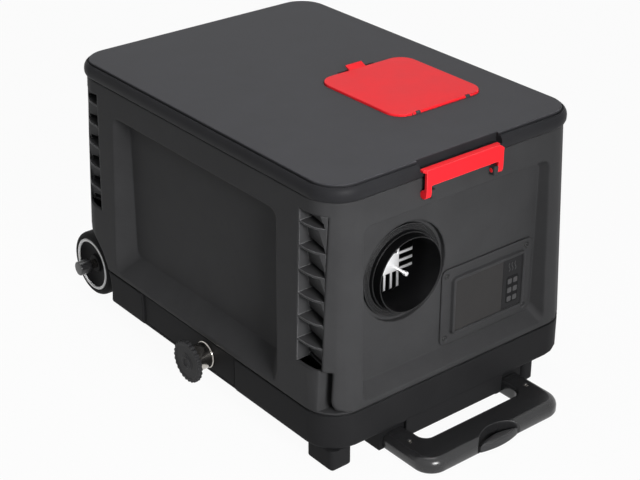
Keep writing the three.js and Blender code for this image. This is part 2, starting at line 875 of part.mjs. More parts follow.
function baseTray() {
  const rebateFoot = trayTop - trayRebateHeight;
  let tray = loft([
    trayRing(trayBottom, trayEdge),
    trayRing(trayBottom + trayEdge * trayEdgeShare, trayEdge * trayEdgeShare),
    trayRing(trayBottom + trayEdge, 0),
    trayRing(rebateFoot, 0),
    trayRing(rebateFoot, trayRebate),
    trayRing(trayTop, trayRebate),
  ]);
  let hollow = loft([trayRing(trayBottom + trayFloor, trayWall), trayRing(trayTop + overrun, trayWall)]);
  for (const side of [-1, 1]) {
    const inside = ordered(side * (plateFace - trayWall), side * (trayHalf + overrun));
    const outside = ordered(side * plateFace, side * (trayHalf + overrun));
    hollow = hollow.subtract(wheelArch(side, trayWall));
    hollow = hollow.subtract(block(inside, plateY, [trayBottom, trayTop + overrun + overrun]));
    tray = tray.subtract(wheelArch(side)).subtract(block(outside, plateY, beyond([trayBottom, trayTop])));
  }
  tray = tray.subtract(hollow);
  const apronHalf = trayHalf - handleInset - handleArm - sleeveWall - fit;
  tray = joined([tray, block(
    [-apronHalf, apronHalf],
    [-caseDraft, apronWall - caseDraft],
    [trayBottom - apronDrop, trayBottom + trayEdge + trayEdge],
  )]);
  for (const side of [-1, 1]) {
    const window = ordered(side * (plateFace - trayWall - overrun), side * (trayHalf + overrun));
    const lug = ordered(side * (archInner - lugInset), side * (archInner - lugInset - lugWidth));
    const lugBlock = block(
      lug,
      [caseLength + caseDraft - trayWall / 2, wheelY],
      [wheelZ - lugRadius, wheelZ + lugRadius],
    );
    tray = tray.subtract(block(window, [plateY[0] + trayWall, plateY[1] - trayWall], plateZ));
    tray = joined([tray, rod('x', wheelAxis, lugRadius, lug), lugBlock])
      .subtract(rod('x', wheelAxis, axleRadius + fit, beyond(lug)));
  }
  return tray;
}
piece('base_tray', baseTray(), 'casing');

// Side plates: the exhaust leaves through the left one, air for the burner enters through the right one
function sidePlate(side, holeY, holeRadius) {
  const x = ordered(side * plateFace, side * (plateFace - trayWall));
  const y = [plateY[0] + trayWall + fit, plateY[1] - trayWall - fit];
  return block(x, y, [plateZ[0] + fit, plateZ[1] - fit])
    .subtract(rod('x', [holeY, exhaustZ], holeRadius, beyond(x)));
}
piece('exhaust_side_plate', sidePlate(-1, exhaustY, stubRadius + fit), 'casing');
piece('intake_side_plate', sidePlate(1, airY, airPipeRadius + fit), 'casing');

// Exhaust stub with its collar, and the screw cap on it
const stubEnd = -(trayHalf + stubReach);
const stubBore = stubRadius - stubWall;
const stubRoot = -(plateFace - trayWall - stubInside);
const ringFace = -(plateFace + fit);
const exhaustAxis = [exhaustY, exhaustZ];

function exhaustStub() {
  const outer = stubRadius + stubRing;
  return turned('x', exhaustAxis, [
    [stubBore, stubEnd],
    [stubRadius, stubEnd],
    [stubRadius, ringFace - stubRingWidth],
    [outer, ringFace - stubRingWidth],
    [outer, ringFace],
    [stubRadius, ringFace],
    [stubRadius, stubRoot],
    [stubBore, stubRoot],
    [stubBore, stubEnd],
  ], wheelSides);
}
piece('exhaust_stub', exhaustStub(), 'steel');

function exhaustCap() {
  const back = stubEnd - fit;
  const outline = [];
  for (let i = 0; i < capScallops + capScallops; i += 1) {
    const angle = (Math.PI * i) / capScallops;
    const radius = i % 2 ? capRadius - capScallopDepth : capRadius;
    outline.push([exhaustY + radius * Math.cos(angle), exhaustZ + radius * Math.sin(angle)]);
  }
  return joined([
    prism('x', outline, [back - capThickness, back]),
    rod('x', exhaustAxis, capBoss, [back - capThickness - capBossRise, back]),
    rod('x', exhaustAxis, stubBore - fit, [back - capThickness / 2, back + capPlug]),
  ]);
}
piece('exhaust_cap', exhaustCap(), 'black');

// Bent pipe from under the heater out to one side
function bentPipe(start, end, bend, radius, lengthen) {
  const side = Math.sign(end[0] - start[0]);
  const ring = ([x, y, z], angle) => {
    const points = [];
    for (let i = 0; i < pipeSides; i += 1) {
      const turn = (2 * Math.PI * i) / pipeSides;
      const out = radius * Math.cos(turn);
      const across = side * out * Math.cos(angle);
      points.push([x - across, y + radius * Math.sin(turn), z - out * Math.sin(angle)]);
    }
    return points;
  };
  const rings = [ring([start[0], start[1], start[2] + lengthen], 0)];
  for (let step = 0; step <= bendSteps; step += 1) {
    const angle = (Math.PI / 2) * (step / bendSteps);
    const x = start[0] + side * bend * (1 - Math.cos(angle));
    rings.push(ring([x, start[1], end[2] + bend * (1 - Math.sin(angle))], angle));
  }
  rings.push(ring([end[0] + side * lengthen, end[1], end[2]], Math.PI / 2));
  return loft(rings);
}

const heaterBottom = ductZ - heaterHalf;
const exhaustTop = heaterBottom - portDrop - fit;
const exhaustStart = [ductX, exhaustY, exhaustTop];
const exhaustEnd = [-trayHalf, exhaustY, exhaustZ];
piece(
  'exhaust_pipe',
  bentPipe(exhaustStart, exhaustEnd, exhaustBend, portRadius, 0)
    .subtract(bentPipe(exhaustStart, exhaustEnd, exhaustBend, portRadius - exhaustPipeWall, overrun)),
  'steel',
);

const airStart = [ductX, airY, heaterBottom + heaterWall + fit];
const airEnd = [plateFace, airY, exhaustZ];
piece(
  'combustion_air_pipe',
  bentPipe(airStart, airEnd, exhaustBend, airPipeRadius, 0)
    .subtract(bentPipe(airStart, airEnd, exhaustBend, airPipeRadius - airPipeWall, overrun)),
  'hose',
);

// Hot-air outlet: a flange on the floor of the pocket and the tube through it
function outletFlange() {
  const bore = ductRadius + fit;
  const back = pocketFloor - fit;
  const face = back - collarThickness;
  return turned('y', ductAxis, [
    [bore, face - collarNeck],
    [bore + collarNeckWall, face - collarNeck],
    [bore + collarNeckWall, face],
    [collarRadius, face],
    [collarRadius, back],
    [bore, back],
    [bore, face - collarNeck],
  ], manySides);
}
piece('outlet_flange', outletFlange(), 'black');
const ductRadii = [ductRadius - ductWall, ductRadius];
piece('outlet_tube', tube('y', ductAxis, ductRadii, [0, ductLength], manySides), 'black');

// Heater unit on the outlet's axis: its case comes apart along the middle
const heaterEnd = heaterFront + heaterLength;

function heaterRing(y, half, corner) {
  return roundedRing('y', y, [ductX - half, ductX + half], [ductZ - half, ductZ + half], corner);
}

function heaterShell(inset) {
  const endCorner = heaterCorner - (heaterHalf - heaterEndHalf);
  return loft([
    heaterRing(heaterFront + inset, heaterEndHalf - inset, endCorner - inset),
    heaterRing(heaterFront + heaterTaper, heaterHalf - inset, heaterCorner - inset),
    heaterRing(heaterEnd - heaterTaper, heaterHalf - inset, heaterCorner - inset),
    heaterRing(heaterEnd - inset, heaterEndHalf - inset, endCorner - inset),
  ]);
}

function heaterCase() {
  const spigotZ = [heaterBottom - spigotLength, heaterBottom + heaterWall / 2];
  const throughFront = beyond([heaterFront, heaterFront + heaterWall]);
  const throughBack = beyond([heaterEnd - heaterWall, heaterEnd]);
  const throughBottom = beyond([heaterBottom, heaterBottom + heaterWall]);
  return heaterShell(0)
    .subtract(heaterShell(heaterWall))
    .subtract(rod('y', ductAxis, ductRadius + fit, throughFront, manySides))
    .subtract(rod('y', ductAxis, heaterIntake, throughBack, manySides))
    .subtract(rod('z', [ductX, exhaustY], portRadius + fit, throughBottom))
    .subtract(rod('z', [ductX, airY], airPipeRadius + fit, throughBottom))
    .add(rod('z', [pumpX, feedY], pumpNeck, spigotZ, fewSides));
}

const around = beyond([ductX - heaterHalf, ductX + heaterHalf]);
const along = beyond([heaterFront, heaterEnd]);
const lowerHalf = block(around, along, [heaterBottom - spigotLength - overrun, ductZ - fit / 2]);
const upperHalf = block(around, along, [ductZ + fit / 2, ductZ + heaterHalf + overrun]);
piece('heater_case_lower', heaterCase().intersect(lowerHalf), 'black');
piece('heater_case_upper', heaterCase().intersect(upperHalf), 'black');

// Bracket that stands the heater on the floor of the case
function heaterBracket() {
  const top = heaterBottom - fit;
  const x = [ductX - heaterHalf, ductX + heaterHalf];
  const y = [heaterFront + bracketMargin, heaterEnd - bracketMargin];
  const foot = floorTop + fit;
  const inner = [x[0] + bracketWall, x[1] - bracketWall];
  const throughTop = beyond([top - bracketWall, top]);
  return block(x, y, [foot, top])
    .subtract(block(inner, beyond(y), [foot - overrun, top - bracketWall]))
    .subtract(block(beyond(x), [y[0] + bracketLeg, y[1] - bracketLeg], [foot - overrun, top - bracketWall]))
    .subtract(rod('z', [ductX, exhaustY], portRadius + fit, throughTop))
    .subtract(rod('z', [ductX, airY], airPipeRadius + fit, throughTop))
    .subtract(rod('z', [pumpX, feedY], pumpNeck + fit, throughTop, fewSides));
}
piece('heater_bracket', heaterBracket(), 'steel');

// Cast heat exchanger: a cup with fins, whose cross of front fins and sensor show in the outlet
function frontFin(quarter, across) {
  const tip = finReach - finSlope;
  const outline = [
    [0, exchangerStart],
    [tip, exchangerStart],
    [finReach, exchangerStart + finSlope],
    [finReach, frontFinEnd],
    [0, frontFinEnd],
  ];
  const cos = Math.cos((quarter * Math.PI) / 2);
  const sin = Math.sin((quarter * Math.PI) / 2);
  const sides = [across - finThickness / 2, across + finThickness / 2];
  return loft(sides.map((side) => outline.map(([out, y]) => [
    ductX + out * cos - side * sin,
    y,
    ductZ + out * sin + side * cos,
  ])));
}

function heatExchanger() {
  const half = finPitch + finThickness / 2;
  const sensor = [ductX + finPitch, ductZ - finPitch];
  const sensorEnd = exchangerStart - sensorReach;
  const shapes = [
    block([ductX - half, ductX + half], [exchangerStart, frontFinEnd], [ductZ - half, ductZ + half]),
    rod('y', sensor, sensorRadius, [sensorEnd, frontFinEnd], fewSides),
    rod('y', sensor, sensorTip, [sensorEnd, sensorEnd + sensorTipLength], fewSides),
    rod('y', ductAxis, exchangerRadius, [frontFinEnd - frontFinPlate, exchangerEnd], someSides),
    rod('z', [ductX, exhaustY], portRadius, [heaterBottom - portDrop, ductZ]),
    rod('z', [ductX, plugY], plugBoss, [ductZ, ductZ + exchangerRadius + plugBossHeight], fewSides),
  ];
  for (let quarter = 0; quarter < 4; quarter += 1) {
    for (const place of [-1, 0, 1]) {
      shapes.push(frontFin(quarter, place * finPitch));
    }
  }
  for (let i = 0; i < ribCount; i += 1) {
    const rib = new THREE.BoxGeometry(ribReach, ribEnd - frontFinEnd + frontFinPlate, finThickness);
    rib.translate(ribReach / 2, (frontFinEnd - frontFinPlate + ribEnd) / 2, 0);
    rib.rotateY((2 * Math.PI * (i + 1 / 2)) / ribCount);
    rib.translate(ductX, 0, ductZ);
    shapes.push(solidOf(rib));
  }
  const cup = [frontFinEnd + exchangerWall, exchangerEnd + overrun];
  const port = [heaterBottom - portDrop - overrun, ductZ];
  return joined(shapes)
    .subtract(rod('y', ductAxis, exchangerRadius - exchangerWall, cup, someSides))
    .subtract(rod('z', [ductX, exhaustY], portRadius - portWall, port))
    .subtract(rod('z', [ductX, plugY], plugRadius + fit, [ductZ, ductZ + heaterHalf], fewSides));
}
piece('heat_exchanger', heatExchanger(), 'aluminium');

// Burner tube in the exchanger, and the glow plug through both
function burnerTube() {
  const flange = [exchangerEnd + fit, exchangerEnd + fit + burnerFlangeThickness];
  const plugHole = [ductZ, ductZ + burnerRadius + overrun];
  return turned('y', ductAxis, [
    [0, flange[1]],
    [burnerFlange, flange[1]],
    [burnerFlange, flange[0]],
    [burnerRadius, flange[0]],
    [burnerRadius, burnerStart],
    [burnerRadius - burnerWall, burnerStart],
    [burnerRadius - burnerWall, flange[0]],
    [0, flange[0]],
  ]).subtract(rod('z', [ductX, plugY], plugRadius + fit, plugHole, fewSides));
}
piece('burner_tube', burnerTube(), 'steel');

function glowPlug() {
  const seat = ductZ + exchangerRadius + plugBossHeight + fit;
  return joined([
    rod('z', [ductX, plugY], plugRadius, [ductZ + burnerRadius / 2, seat + plugHeadHeight], fewSides),
    rod('z', [ductX, plugY], plugHead, [seat, seat + plugHeadHeight], hexSides),
    rod('z', [ductX, plugY], plugRadius / 2, [seat, seat + plugBodyHeight], fewSides),
  ]);
}
piece('glow_plug', glowPlug(), 'steel');

// Blower: one motor drives the burner's impeller in front of it and the fan behind it
function blowerMotor() {
  const bore = shaftRadius + fit;
  const reach = heaterHalf - heaterWall - fit;
  const half = motorArm / 2;
  const y = [motorStart, motorStart + motorLength];
  const plate = [motorStart, motorStart + motorPlate];
  const across = block([ductX - reach, ductX + reach], plate, [ductZ - half, ductZ + half]);
  const upright = block([ductX - half, ductX + half], plate, [ductZ - reach, ductZ + reach]);
  return joined([rod('y', ductAxis, motorRadius, y), across, upright])
    .subtract(rod('y', ductAxis, bore, beyond(y), fewSides));
}
piece('blower_motor', blowerMotor(), 'black');
const shaftSpan = [impellerStart, fanStart + fanHubLength];
piece('fan_shaft', rod('y', ductAxis, shaftRadius, shaftSpan, fewSides), 'steel');

// Blade standing out from the shaft, turned about its own length and then round the shaft
function paddle(length, size, pitch, start, y, angle) {
  const blade = new THREE.BoxGeometry(length, size[0], size[1]);
  blade.rotateX(pitch);
  blade.translate(start + length / 2, y, 0);
  blade.rotateY(angle);
  blade.translate(ductX, 0, ductZ);
  return solidOf(blade);
}

function combustionImpeller() {
  const disc = [impellerStart + impellerVane, impellerStart + impellerVane + impellerDisc];
  const shapes = [
    tube('y', ductAxis, [shaftRadius + fit, impellerRadius], disc),
    tube('y', ductAxis, [shaftRadius + fit, impellerHub], [impellerStart, disc[1]]),
  ];
  for (let i = 0; i < impellerCount; i += 1) {
    const start = impellerHub - fit;
    const size = [impellerVane + fit, impellerDisc];
    const y = impellerStart + (impellerVane + fit) / 2;
    const angle = (2 * Math.PI * i) / impellerCount;
    shapes.push(paddle(impellerRadius - start - fit, size, 0, start, y, angle));
  }
  return joined(shapes);
}
piece('combustion_impeller', combustionImpeller(), 'black');

function intakeFan() {
  const middle = fanStart + fanHubLength / 2;
  const shapes = [tube('y', ductAxis, [shaftRadius + fit, fanHub], [fanStart, fanStart + fanHubLength])];
  const pitch = THREE.MathUtils.degToRad(fanPitch);
  for (let i = 0; i < fanCount; i += 1) {
    const start = fanHub - fanBlade;
    const angle = (2 * Math.PI * i) / fanCount;
    shapes.push(paddle(fanReach - start, [fanBlade, fanChord], pitch, start, middle, angle));
  }
  return joined(shapes);
}
piece('intake_fan', intakeFan(), 'black');

// Air way from the grille in the rear face to the heater
const intakeRadii = [heaterIntake, heaterIntake + intakeDuctWall];
const intakeSpan = [heaterEnd + fit, rearInside - fit];
piece('intake_duct', tube('y', ductAxis, intakeRadii, intakeSpan, manySides), 'black');

function rearGrille() {
  const y = [rearFloor + fit, rearFloor + fit + grilleThickness];
  let grille = rod('y', ductAxis, grilleRadius, y, manySides);
  const open = grilleRadius - grilleRim;
  const pitch = grilleSlot + grilleBar;
  const most = Math.floor(open / pitch);
  for (let i = -most; i <= most; i += 1) {
    const half = Math.sqrt(open ** 2 - (Math.abs(i * pitch) + grilleSlot / 2) ** 2);
    if (half > grilleSlot) {
      const z = [ductZ + i * pitch - grilleSlot / 2, ductZ + i * pitch + grilleSlot / 2];
      grille = grille.subtract(block([ductX - half, ductX + half], beyond(y), z));
    }
  }
  return grille;
}
piece('rear_grille', rearGrille(), 'black');

// Power inlet in the rear face
function powerInlet() {
  const x = [inletX - inletWidth / 2, inletX + inletWidth / 2];
  const z = [inletZ - inletHeight / 2, inletZ + inletHeight / 2];
  const seat = rearFloor + fit;
  const face = seat + inletFlangeThickness;
  const floor = seat - inletDepth;
  const flangeX = [x[0] - inletFlange, x[1] + inletFlange];
  const flangeZ = [z[0] - inletFlangeRise, z[1] + inletFlangeRise];
  const shapes = [
    block(x, [floor, seat], z).add(block(flangeX, [seat, face], flangeZ)).subtract(block(
      [x[0] + inletWall, x[1] - inletWall],
      [floor + inletWall, face + overrun],
      [z[0] + inletWall, z[1] - inletWall],
    )),
  ];
  for (const place of [-1, 0, 1]) {
    const centre = [inletX + place * inletPinPitch, inletZ];
    const pin = [floor, floor + inletWall + inletPinLength];
    shapes.push(rod('y', centre, inletPin / 2, pin, hexSides));
  }
  return joined(shapes);
}
piece('power_inlet', powerInlet(), 'black');

// Fuel tank with its neck under the filler cover, and the cap on the neck
const tankX = [ductX + heaterHalf + tankHeaterGap, sideFace - sideRecessDepth - caseWall - tankSideGap];
const neckTop = tankTop + neckHeight;
const neckX = coverLeft + coverWidth / 2;
const neckY = coverFront + coverLength / 2;
const spigotAxis = [spigotY, floorTop + pumpRise];

function fuelTank() {
  const y = [tankFront, tankFront + tankLength];
  const tankRing = (z, inset) => roundedRing(
    'z', z, [tankX[0] + inset, tankX[1] - inset], [y[0] + inset, y[1] - inset], tankCorner - inset,
  );
  const shell = (inset) => loft([
    tankRing(tankBottom + inset, inset),
    tankRing(tankTop - inset, inset),
  ]);
  return joined([
    shell(0),
    rod('z', [neckX, neckY], neckRadius, [tankTop - tankWall, neckTop], someSides),
    rod('x', spigotAxis, pumpNeck, [tankX[0] - spigotLength, tankX[0] + tankWall / 2], fewSides),
  ])
    .subtract(shell(tankWall))
    .subtract(rod('z', [neckX, neckY], neckRadius - neckWall, beyond([tankTop - tankWall, neckTop])));
}
piece('fuel_tank', fuelTank(), 'tank');

function tankCap() {
  const roof = neckTop + fit;
  const top = roof + tankCapTop;
  const bore = (neckRadius + fit) / Math.cos(Math.PI / someSides);
  return turned('z', [neckX, neckY], [
    [0, top],
    [tankCapRadius, top],
    [tankCapRadius, top - tankCapHeight],
    [bore, top - tankCapHeight],
    [bore, roof],
    [0, roof],
  ], someSides);
}
piece('tank_cap', tankCap(), 'black');

// Fuel pump on its saddles, with the line from the tank and the line to the heater
const pumpAxis = [pumpX, floorTop + pumpRise];
const pumpEnd = pumpFront + pumpLength;

function fuelPump() {
  return joined([
    rod('y', pumpAxis, pumpRadius, [pumpFront, pumpEnd]),
    rod('y', pumpAxis, pumpNeck, [pumpFront - pumpNeckLength, pumpEnd + pumpNeckLength], fewSides),
  ]);
}
piece('fuel_pump', fuelPump(), 'steel');

const lineZ = floorTop + pumpRise;
const suctionStart = tankX[0] - spigotLength - fit;
const suctionEnd = pumpFront - pumpNeckLength - fit;
const suctionBend = (suctionStart - pumpX) / 2;
piece('fuel_line_suction', hose([
  [suctionStart, spigotY, lineZ],
  [suctionStart - suctionBend / 2, spigotY, lineZ],
  [pumpX + suctionBend / 3, spigotY + suctionBend / 3, lineZ],
  [pumpX, suctionEnd - suctionBend / 3, lineZ],
  [pumpX, suctionEnd, lineZ],
], hoseRadius, hoseSides, hoseSteps), 'hose');

const feedStart = pumpEnd + pumpNeckLength + fit;
const feedEnd = heaterBottom - spigotLength - fit;
const feedBend = (feedY - feedStart) / 2;
piece('fuel_line_feed', hose([
  [pumpX, feedStart, lineZ],
  [pumpX, feedStart + feedBend, lineZ],
  [pumpX, feedY, lineZ + feedBend],
  [pumpX, feedY, feedEnd],
], hoseRadius, hoseSides, hoseSteps), 'hose');

// Control panel: bezel with a raised frame, display, keys and the board behind them
const bezelBack = recessFloor - fit;
const bezelFace = bezelBack - bezelThickness;
const frameFace = bezelFace - frameRise;
const ledge = frameFace + panelSetback + panelThickness + fit;

function controlBezel() {
  const frame = panelWindow(0);
  const opening = panelWindow(frameWall);
  const hole = panelWindow(frameWall + ledgeWidth);
  const bezelZ = [bezelBottom, bezelBottom + bezelHeight];
  const flat = (x, z, corner, y) => loft(y.map((at) => roundedRing('y', at, x, z, corner)));
  return flat(bezelX, bezelZ, bezelCorner, [bezelFace, bezelBack])
    .add(flat(frame.x, frame.z, frameCorner, [frameFace, bezelFace + bezelThickness / 2]))
    .subtract(block(opening.x, [frameFace - overrun, ledge], opening.z))
    .subtract(block(hole.x, [frameFace - overrun, bezelBack + overrun], hole.z));
}
piece('control_bezel', controlBezel(), 'casing');

const panelY = [frameFace + panelSetback, frameFace + panelSetback + panelThickness];
const panelInside = panelWindow(frameWall + fit);
const displayEnd = panelInside.x[1] - keypadWidth;
piece('display_window', block([panelInside.x[0], displayEnd], panelY, panelInside.z), 'display');
piece('keypad', block([displayEnd + fit, panelInside.x[1]], panelY, panelInside.z), 'black');

function controlBoard() {
  const y = [bezelBack + fit, bezelBack + fit + boardThickness];
  const middle = (panelInside.z[0] + panelInside.z[1]) / 2;
  const shapes = [block(panelInside.x, y, panelInside.z)];
  const chipRoom = (panelInside.x[1] - panelInside.x[0] - boardMargin - boardMargin) / chipCount;
  const chipSize = chipRoom * chipShare;
  for (let i = 0; i < chipCount; i += 1) {
    const x = panelInside.x[0] + boardMargin + i * chipRoom + (chipRoom - chipSize) / 2;
    const chip = [middle - chipSize / 2, middle + chipSize / 2];
    shapes.push(block([x, x + chipSize], [y[1] - boardThickness / 2, y[1] + chipHeight], chip));
  }
  return joined(shapes);
}
piece('control_board', controlBoard(), 'board');

// Lid with its overhanging bead, the notch for the latch and the well for the filler cover
const coverX = [coverLeft, coverLeft + coverWidth];
const coverEnd = coverFront + coverLength;
const coverTop = lidTop + coverProud;
const coverBottom = coverTop - coverThickness;
const wellFloor = coverBottom - fit;
const coverAxis = [coverFront + coverBarrel, coverTop - coverBarrel];
const tabX = [tabLeft, tabLeft + tabWidth];
const fingerX = [fingerLeft, fingerLeft + fingerWidth];

function coverEars() {
  const length = [coverX[0] + coverEarStart, coverX[1] - coverEarStart - coverEarLength];
  return length.map((start) => [start, start + coverEarLength]);
}

function lidRing(z, outset) {
  const half = sideFace - lidSide + outset;
  const y = [lidFront - outset, caseLength - lidBack + outset];
  return roundedRing('z', z, [-half, half], y, lidCorner + outset, caseSteps);
}

function lid() {
  const cavity = (z) => caseRing(caseTop, lidEdge).map(([x, y]) => [x, y, z]);
  const sealRing = (z, inset) => caseRing(caseTop, inset).map(([x, y]) => [x, y, z]);
  const groove = [sealInset - fit, sealInset + sealWidth + fit];
  const grooveTop = lidBottom + sealDepth + fit;
  const low = lidBottom - overrun;
  const notchX = [notchCentre - notchWidth / 2, notchCentre + notchWidth / 2];
  const notchZ = [latchPlateTop - latchLip - fit, lidTop + overrun];
  const wellX = [coverX[0] + wellMargin, coverX[1] - wellMargin];
  const wellY = [coverFront + wellMargin, coverEnd - wellMargin];
  const pocketX = [coverX[0] - coverGap, coverX[1] + coverGap];
  const pocketY = [coverFront - coverGap, coverEnd + coverGap];
  const pocketZ = [wellFloor, lidTop + overrun];
  const pocket = pocketZ.map((z) => roundedRing('z', z, pocketX, pocketY, coverCorner + coverGap));
  const wellCorner = coverCorner - wellMargin + coverGap;
  const well = [low, lidTop].map((z) => roundedRing('z', z, wellX, wellY, wellCorner));
  const fingerY = [coverEnd - overrun, coverEnd + fingerReach];
  const finger = block(fingerX, fingerY, [lidTop - fingerDepth, lidTop + overrun]);
  const seal = loft([sealRing(low, groove[0]), sealRing(grooveTop, groove[0])])
    .subtract(loft([sealRing(low - overrun, groove[1]), sealRing(grooveTop + overrun, groove[1])]));
  const rings = beadShares.map(([up, out]) => lidRing(lidBottom + lidHeight * up, beadOverhang * out));
  let result = loft(rings)
    .subtract(loft([cavity(low), cavity(lidTop - lidRoof)]))
    .subtract(seal)
    .subtract(block(notchX, [-beadOverhang - overrun, lidFront + notchDepth], notchZ))
    .subtract(loft(pocket))
    .subtract(finger)
    .subtract(loft(well));
  for (const x of coverEars()) {
    const [y, z] = coverAxis;
    const post = block(x, [y - coverBarrel, y + coverBarrel], [wellFloor - fit, z]);
    result = joined([result, post, rod('x', coverAxis, coverBarrel, x, fewSides)]);
  }
  const pinHole = [coverX[0] + coverCorner - fit, coverX[1] - coverCorner + fit];
  return joined([result, ...hingeKnuckles(true)])
    .subtract(rod('x', hingeAxis, hingePinRadius + fit, beyond(hingeSpan), fewSides))
    .subtract(rod('x', coverAxis, coverPinRadius + fit, pinHole, fewSides));
}
piece('lid', lid(), 'lid');

function lidSeal() {
  const ring = (inset) => [lidBottom, lidBottom + sealDepth].map(
    (z) => caseRing(caseTop, inset).map(([x, y]) => [x, y, z]),
  );
  const hole = (inset) => [lidBottom - overrun, lidBottom + sealDepth + overrun].map(
    (z) => caseRing(caseTop, inset).map(([x, y]) => [x, y, z]),
  );
  return loft(ring(sealInset)).subtract(loft(hole(sealInset + sealWidth)));
}
piece('lid_seal', lidSeal(), 'rubber');
piece('lid_hinge_pin', rod('x', hingeAxis, hingePinRadius, hingeSpan, fewSides), 'steel');

function fillerCover() {
  const [y] = coverAxis;
  const straight = [coverX[0] + coverCorner, coverX[1] - coverCorner];
  const high = beyond([coverBottom, coverTop]);
  const coverY = [coverFront, coverEnd];
  const outline = [coverBottom, coverTop].map((at) => roundedRing('z', at, coverX, coverY, coverCorner));
  const edge = block(beyond(coverX), [coverFront - overrun, y], high);
  const tabProfile = [
    [coverEnd - tabThickness, coverTop - tabThickness],
    [coverEnd, coverTop - tabThickness],
    [coverEnd + tabReach, coverTop + tabRise - tabThickness],
    [coverEnd + tabReach, coverTop + tabRise],
    [coverEnd, coverTop],
    [coverEnd - tabThickness, coverTop],
  ];
  let cover = joined([
    loft(outline).subtract(edge),
    rod('x', coverAxis, coverBarrel, straight, someSides),
    prism('x', tabProfile, tabX),
  ]);
  for (const x of coverEars()) {
    const notchY = [coverFront - overrun, y + coverBarrel + coverGap];
    cover = cover.subtract(block([x[0] - fit, x[1] + fit], notchY, high));
  }
  return cover.subtract(rod('x', coverAxis, coverPinRadius + fit, beyond(straight), fewSides));
}
piece('filler_cover', fillerCover(), 'red');
piece(
  'filler_cover_pin',
  rod('x', coverAxis, coverPinRadius, [coverX[0] + coverCorner, coverX[1] - coverCorner], fewSides),
  'steel',
);

// Wheels on one axle, each a tyre on a dished hub with a trim ring
const sides = [{ name: 'left', side: -1 }, { name: 'right', side: 1 }];

function wheelPiece(side, profile) {
  const section = profile.map(([radius, depth]) => [radius, side * (wheelFace - depth)]);
  return turned('x', wheelAxis, section, wheelSides);
}

for (const { name, side } of sides) {
  const rimOuter = tyreInner - fit;
  const rimInner = rimOuter - hubRim;
  const rimFace = ringThickness + fit;
  const bore = axleRadius + fit;
  piece(`wheel_hub_${name}`, wheelPiece(side, [
    [bore, hubBossFace],
    [hubBoss, hubBossFace],
    [hubBoss, hubDish],
    [rimInner, rimFace + hubRim / 2],
    [rimInner, rimFace],
    [rimOuter, rimFace],
    [rimOuter, wheelWidth],
    [rimInner, wheelWidth],
    [rimInner, rimFace + hubRim / 2 + hubWeb],
    [hubBoss, hubDish + hubWeb],
    [hubBoss, hubBack],
    [bore, hubBack],
    [bore, hubBossFace],
  ]), 'black');
  piece(`tyre_${name}`, wheelPiece(side, [
    [tyreInner, 0],
    [wheelRadius - tyreRound, 0],
    [wheelRadius, tyreRound],
    [wheelRadius, wheelWidth - tyreRound],
    [wheelRadius - tyreRound, wheelWidth],
    [tyreInner, wheelWidth],
    [tyreInner, 0],
  ]), 'rubber');
  piece(`wheel_ring_${name}`, wheelPiece(side, [
    [rimOuter - ringWidth, 0],
    [rimOuter, 0],
    [rimOuter, ringThickness],
    [rimOuter - ringWidth, ringThickness],
    [rimOuter - ringWidth, 0],
  ]), 'white');
  const capStart = wheelFace + capGap;
  const capEnds = ordered(side * capStart, side * (capStart + axleCapLength));
  const socketEnd = capStart + axleCapLength / 2 + fit;
  const socket = ordered(side * (capStart - overrun), side * socketEnd);
  piece(
    `axle_cap_${name}`,
    rod('x', wheelAxis, axleCapRadius, capEnds, axleCapFaces + axleCapFaces)
      .subtract(rod('x', wheelAxis, axleRadius + fit, socket, fewSides)),
    'black',
  );
}
const axleEnd = wheelFace + capGap + axleCapLength / 2;
piece('wheel_axle', rod('x', wheelAxis, axleRadius, [-axleEnd, axleEnd], fewSides), 'steel');

// Feet under the front corners
function foot(left, width, front) {
  const ring = (z, inset) => {
    const x = [left + inset, left + width - inset];
    return roundedRing('z', z, x, [front + inset, front + footLength - inset], footCorner - inset);
  };
  return loft([ring(0, footEdge), ring(footEdge, 0), ring(trayBottom - fit, 0)]);
}
const leftFoot = leftFootInset - trayHalf;
const rightFoot = trayHalf - rightFootInset - rightFootWidth;
piece('foot_left', foot(leftFoot, leftFootWidth, leftFootFront), 'casing');
piece('foot_right', foot(rightFoot, rightFootWidth, rightFootFront), 'casing');

// Pull handle: a grip on two tubes that slide in sleeves under the tray
const handleTop = handleBottom + handleHeight;
const handleHalf = trayHalf - handleInset;
const armMiddle = handleHalf - handleArm / 2;
const gripBack = sleeveMouth - fit;
const barBack = sleeveMouth - handleGap;
const barFront = barBack - handleBar;
const tubeZ = (handleBottom + handleTop) / 2;
const tubeStart = gripBack - tubeInGrip;

function tubeBlock(side, allowance, y) {
  const half = tubeWidth / 2 + allowance;
  const centre = side * armMiddle;
  const rise = tubeHeight / 2 + allowance;
  return block([centre - half, centre + half], y, [tubeZ - rise, tubeZ + rise]);
}

for (const { name, side } of sides) {
  const outer = side * (handleHalf + sleeveWall);
  const inner = side * (handleHalf - handleArm - sleeveWall);
  const y = [sleeveMouth, sleeveMouth + sleeveLength];
  piece(
    `handle_sleeve_${name}`,
    block(ordered(outer, inner), y, [handleBottom, trayBottom - fit])
      .subtract(tubeBlock(side, tubePlay, beyond(y))),
    'black',
  );
  piece(
    `handle_tube_${name}`,
    tubeBlock(side, 0, [tubeStart, tubeStart + tubeLength])
      .subtract(tubeBlock(side, -tubeWall, beyond([tubeStart, tubeStart + tubeLength]))),
    'steel',
  );
}

const buttonFace = barFront - buttonRise;

function buttonShape(grow, y, share = 1) {
  const half = (buttonWidth / 2) * share + grow;
  const rise = (buttonHeight / 2) * share + grow;
  return roundedRing('y', y, [-half, half], [tubeZ - rise, tubeZ + rise], rise * buttonFaceShare);
}

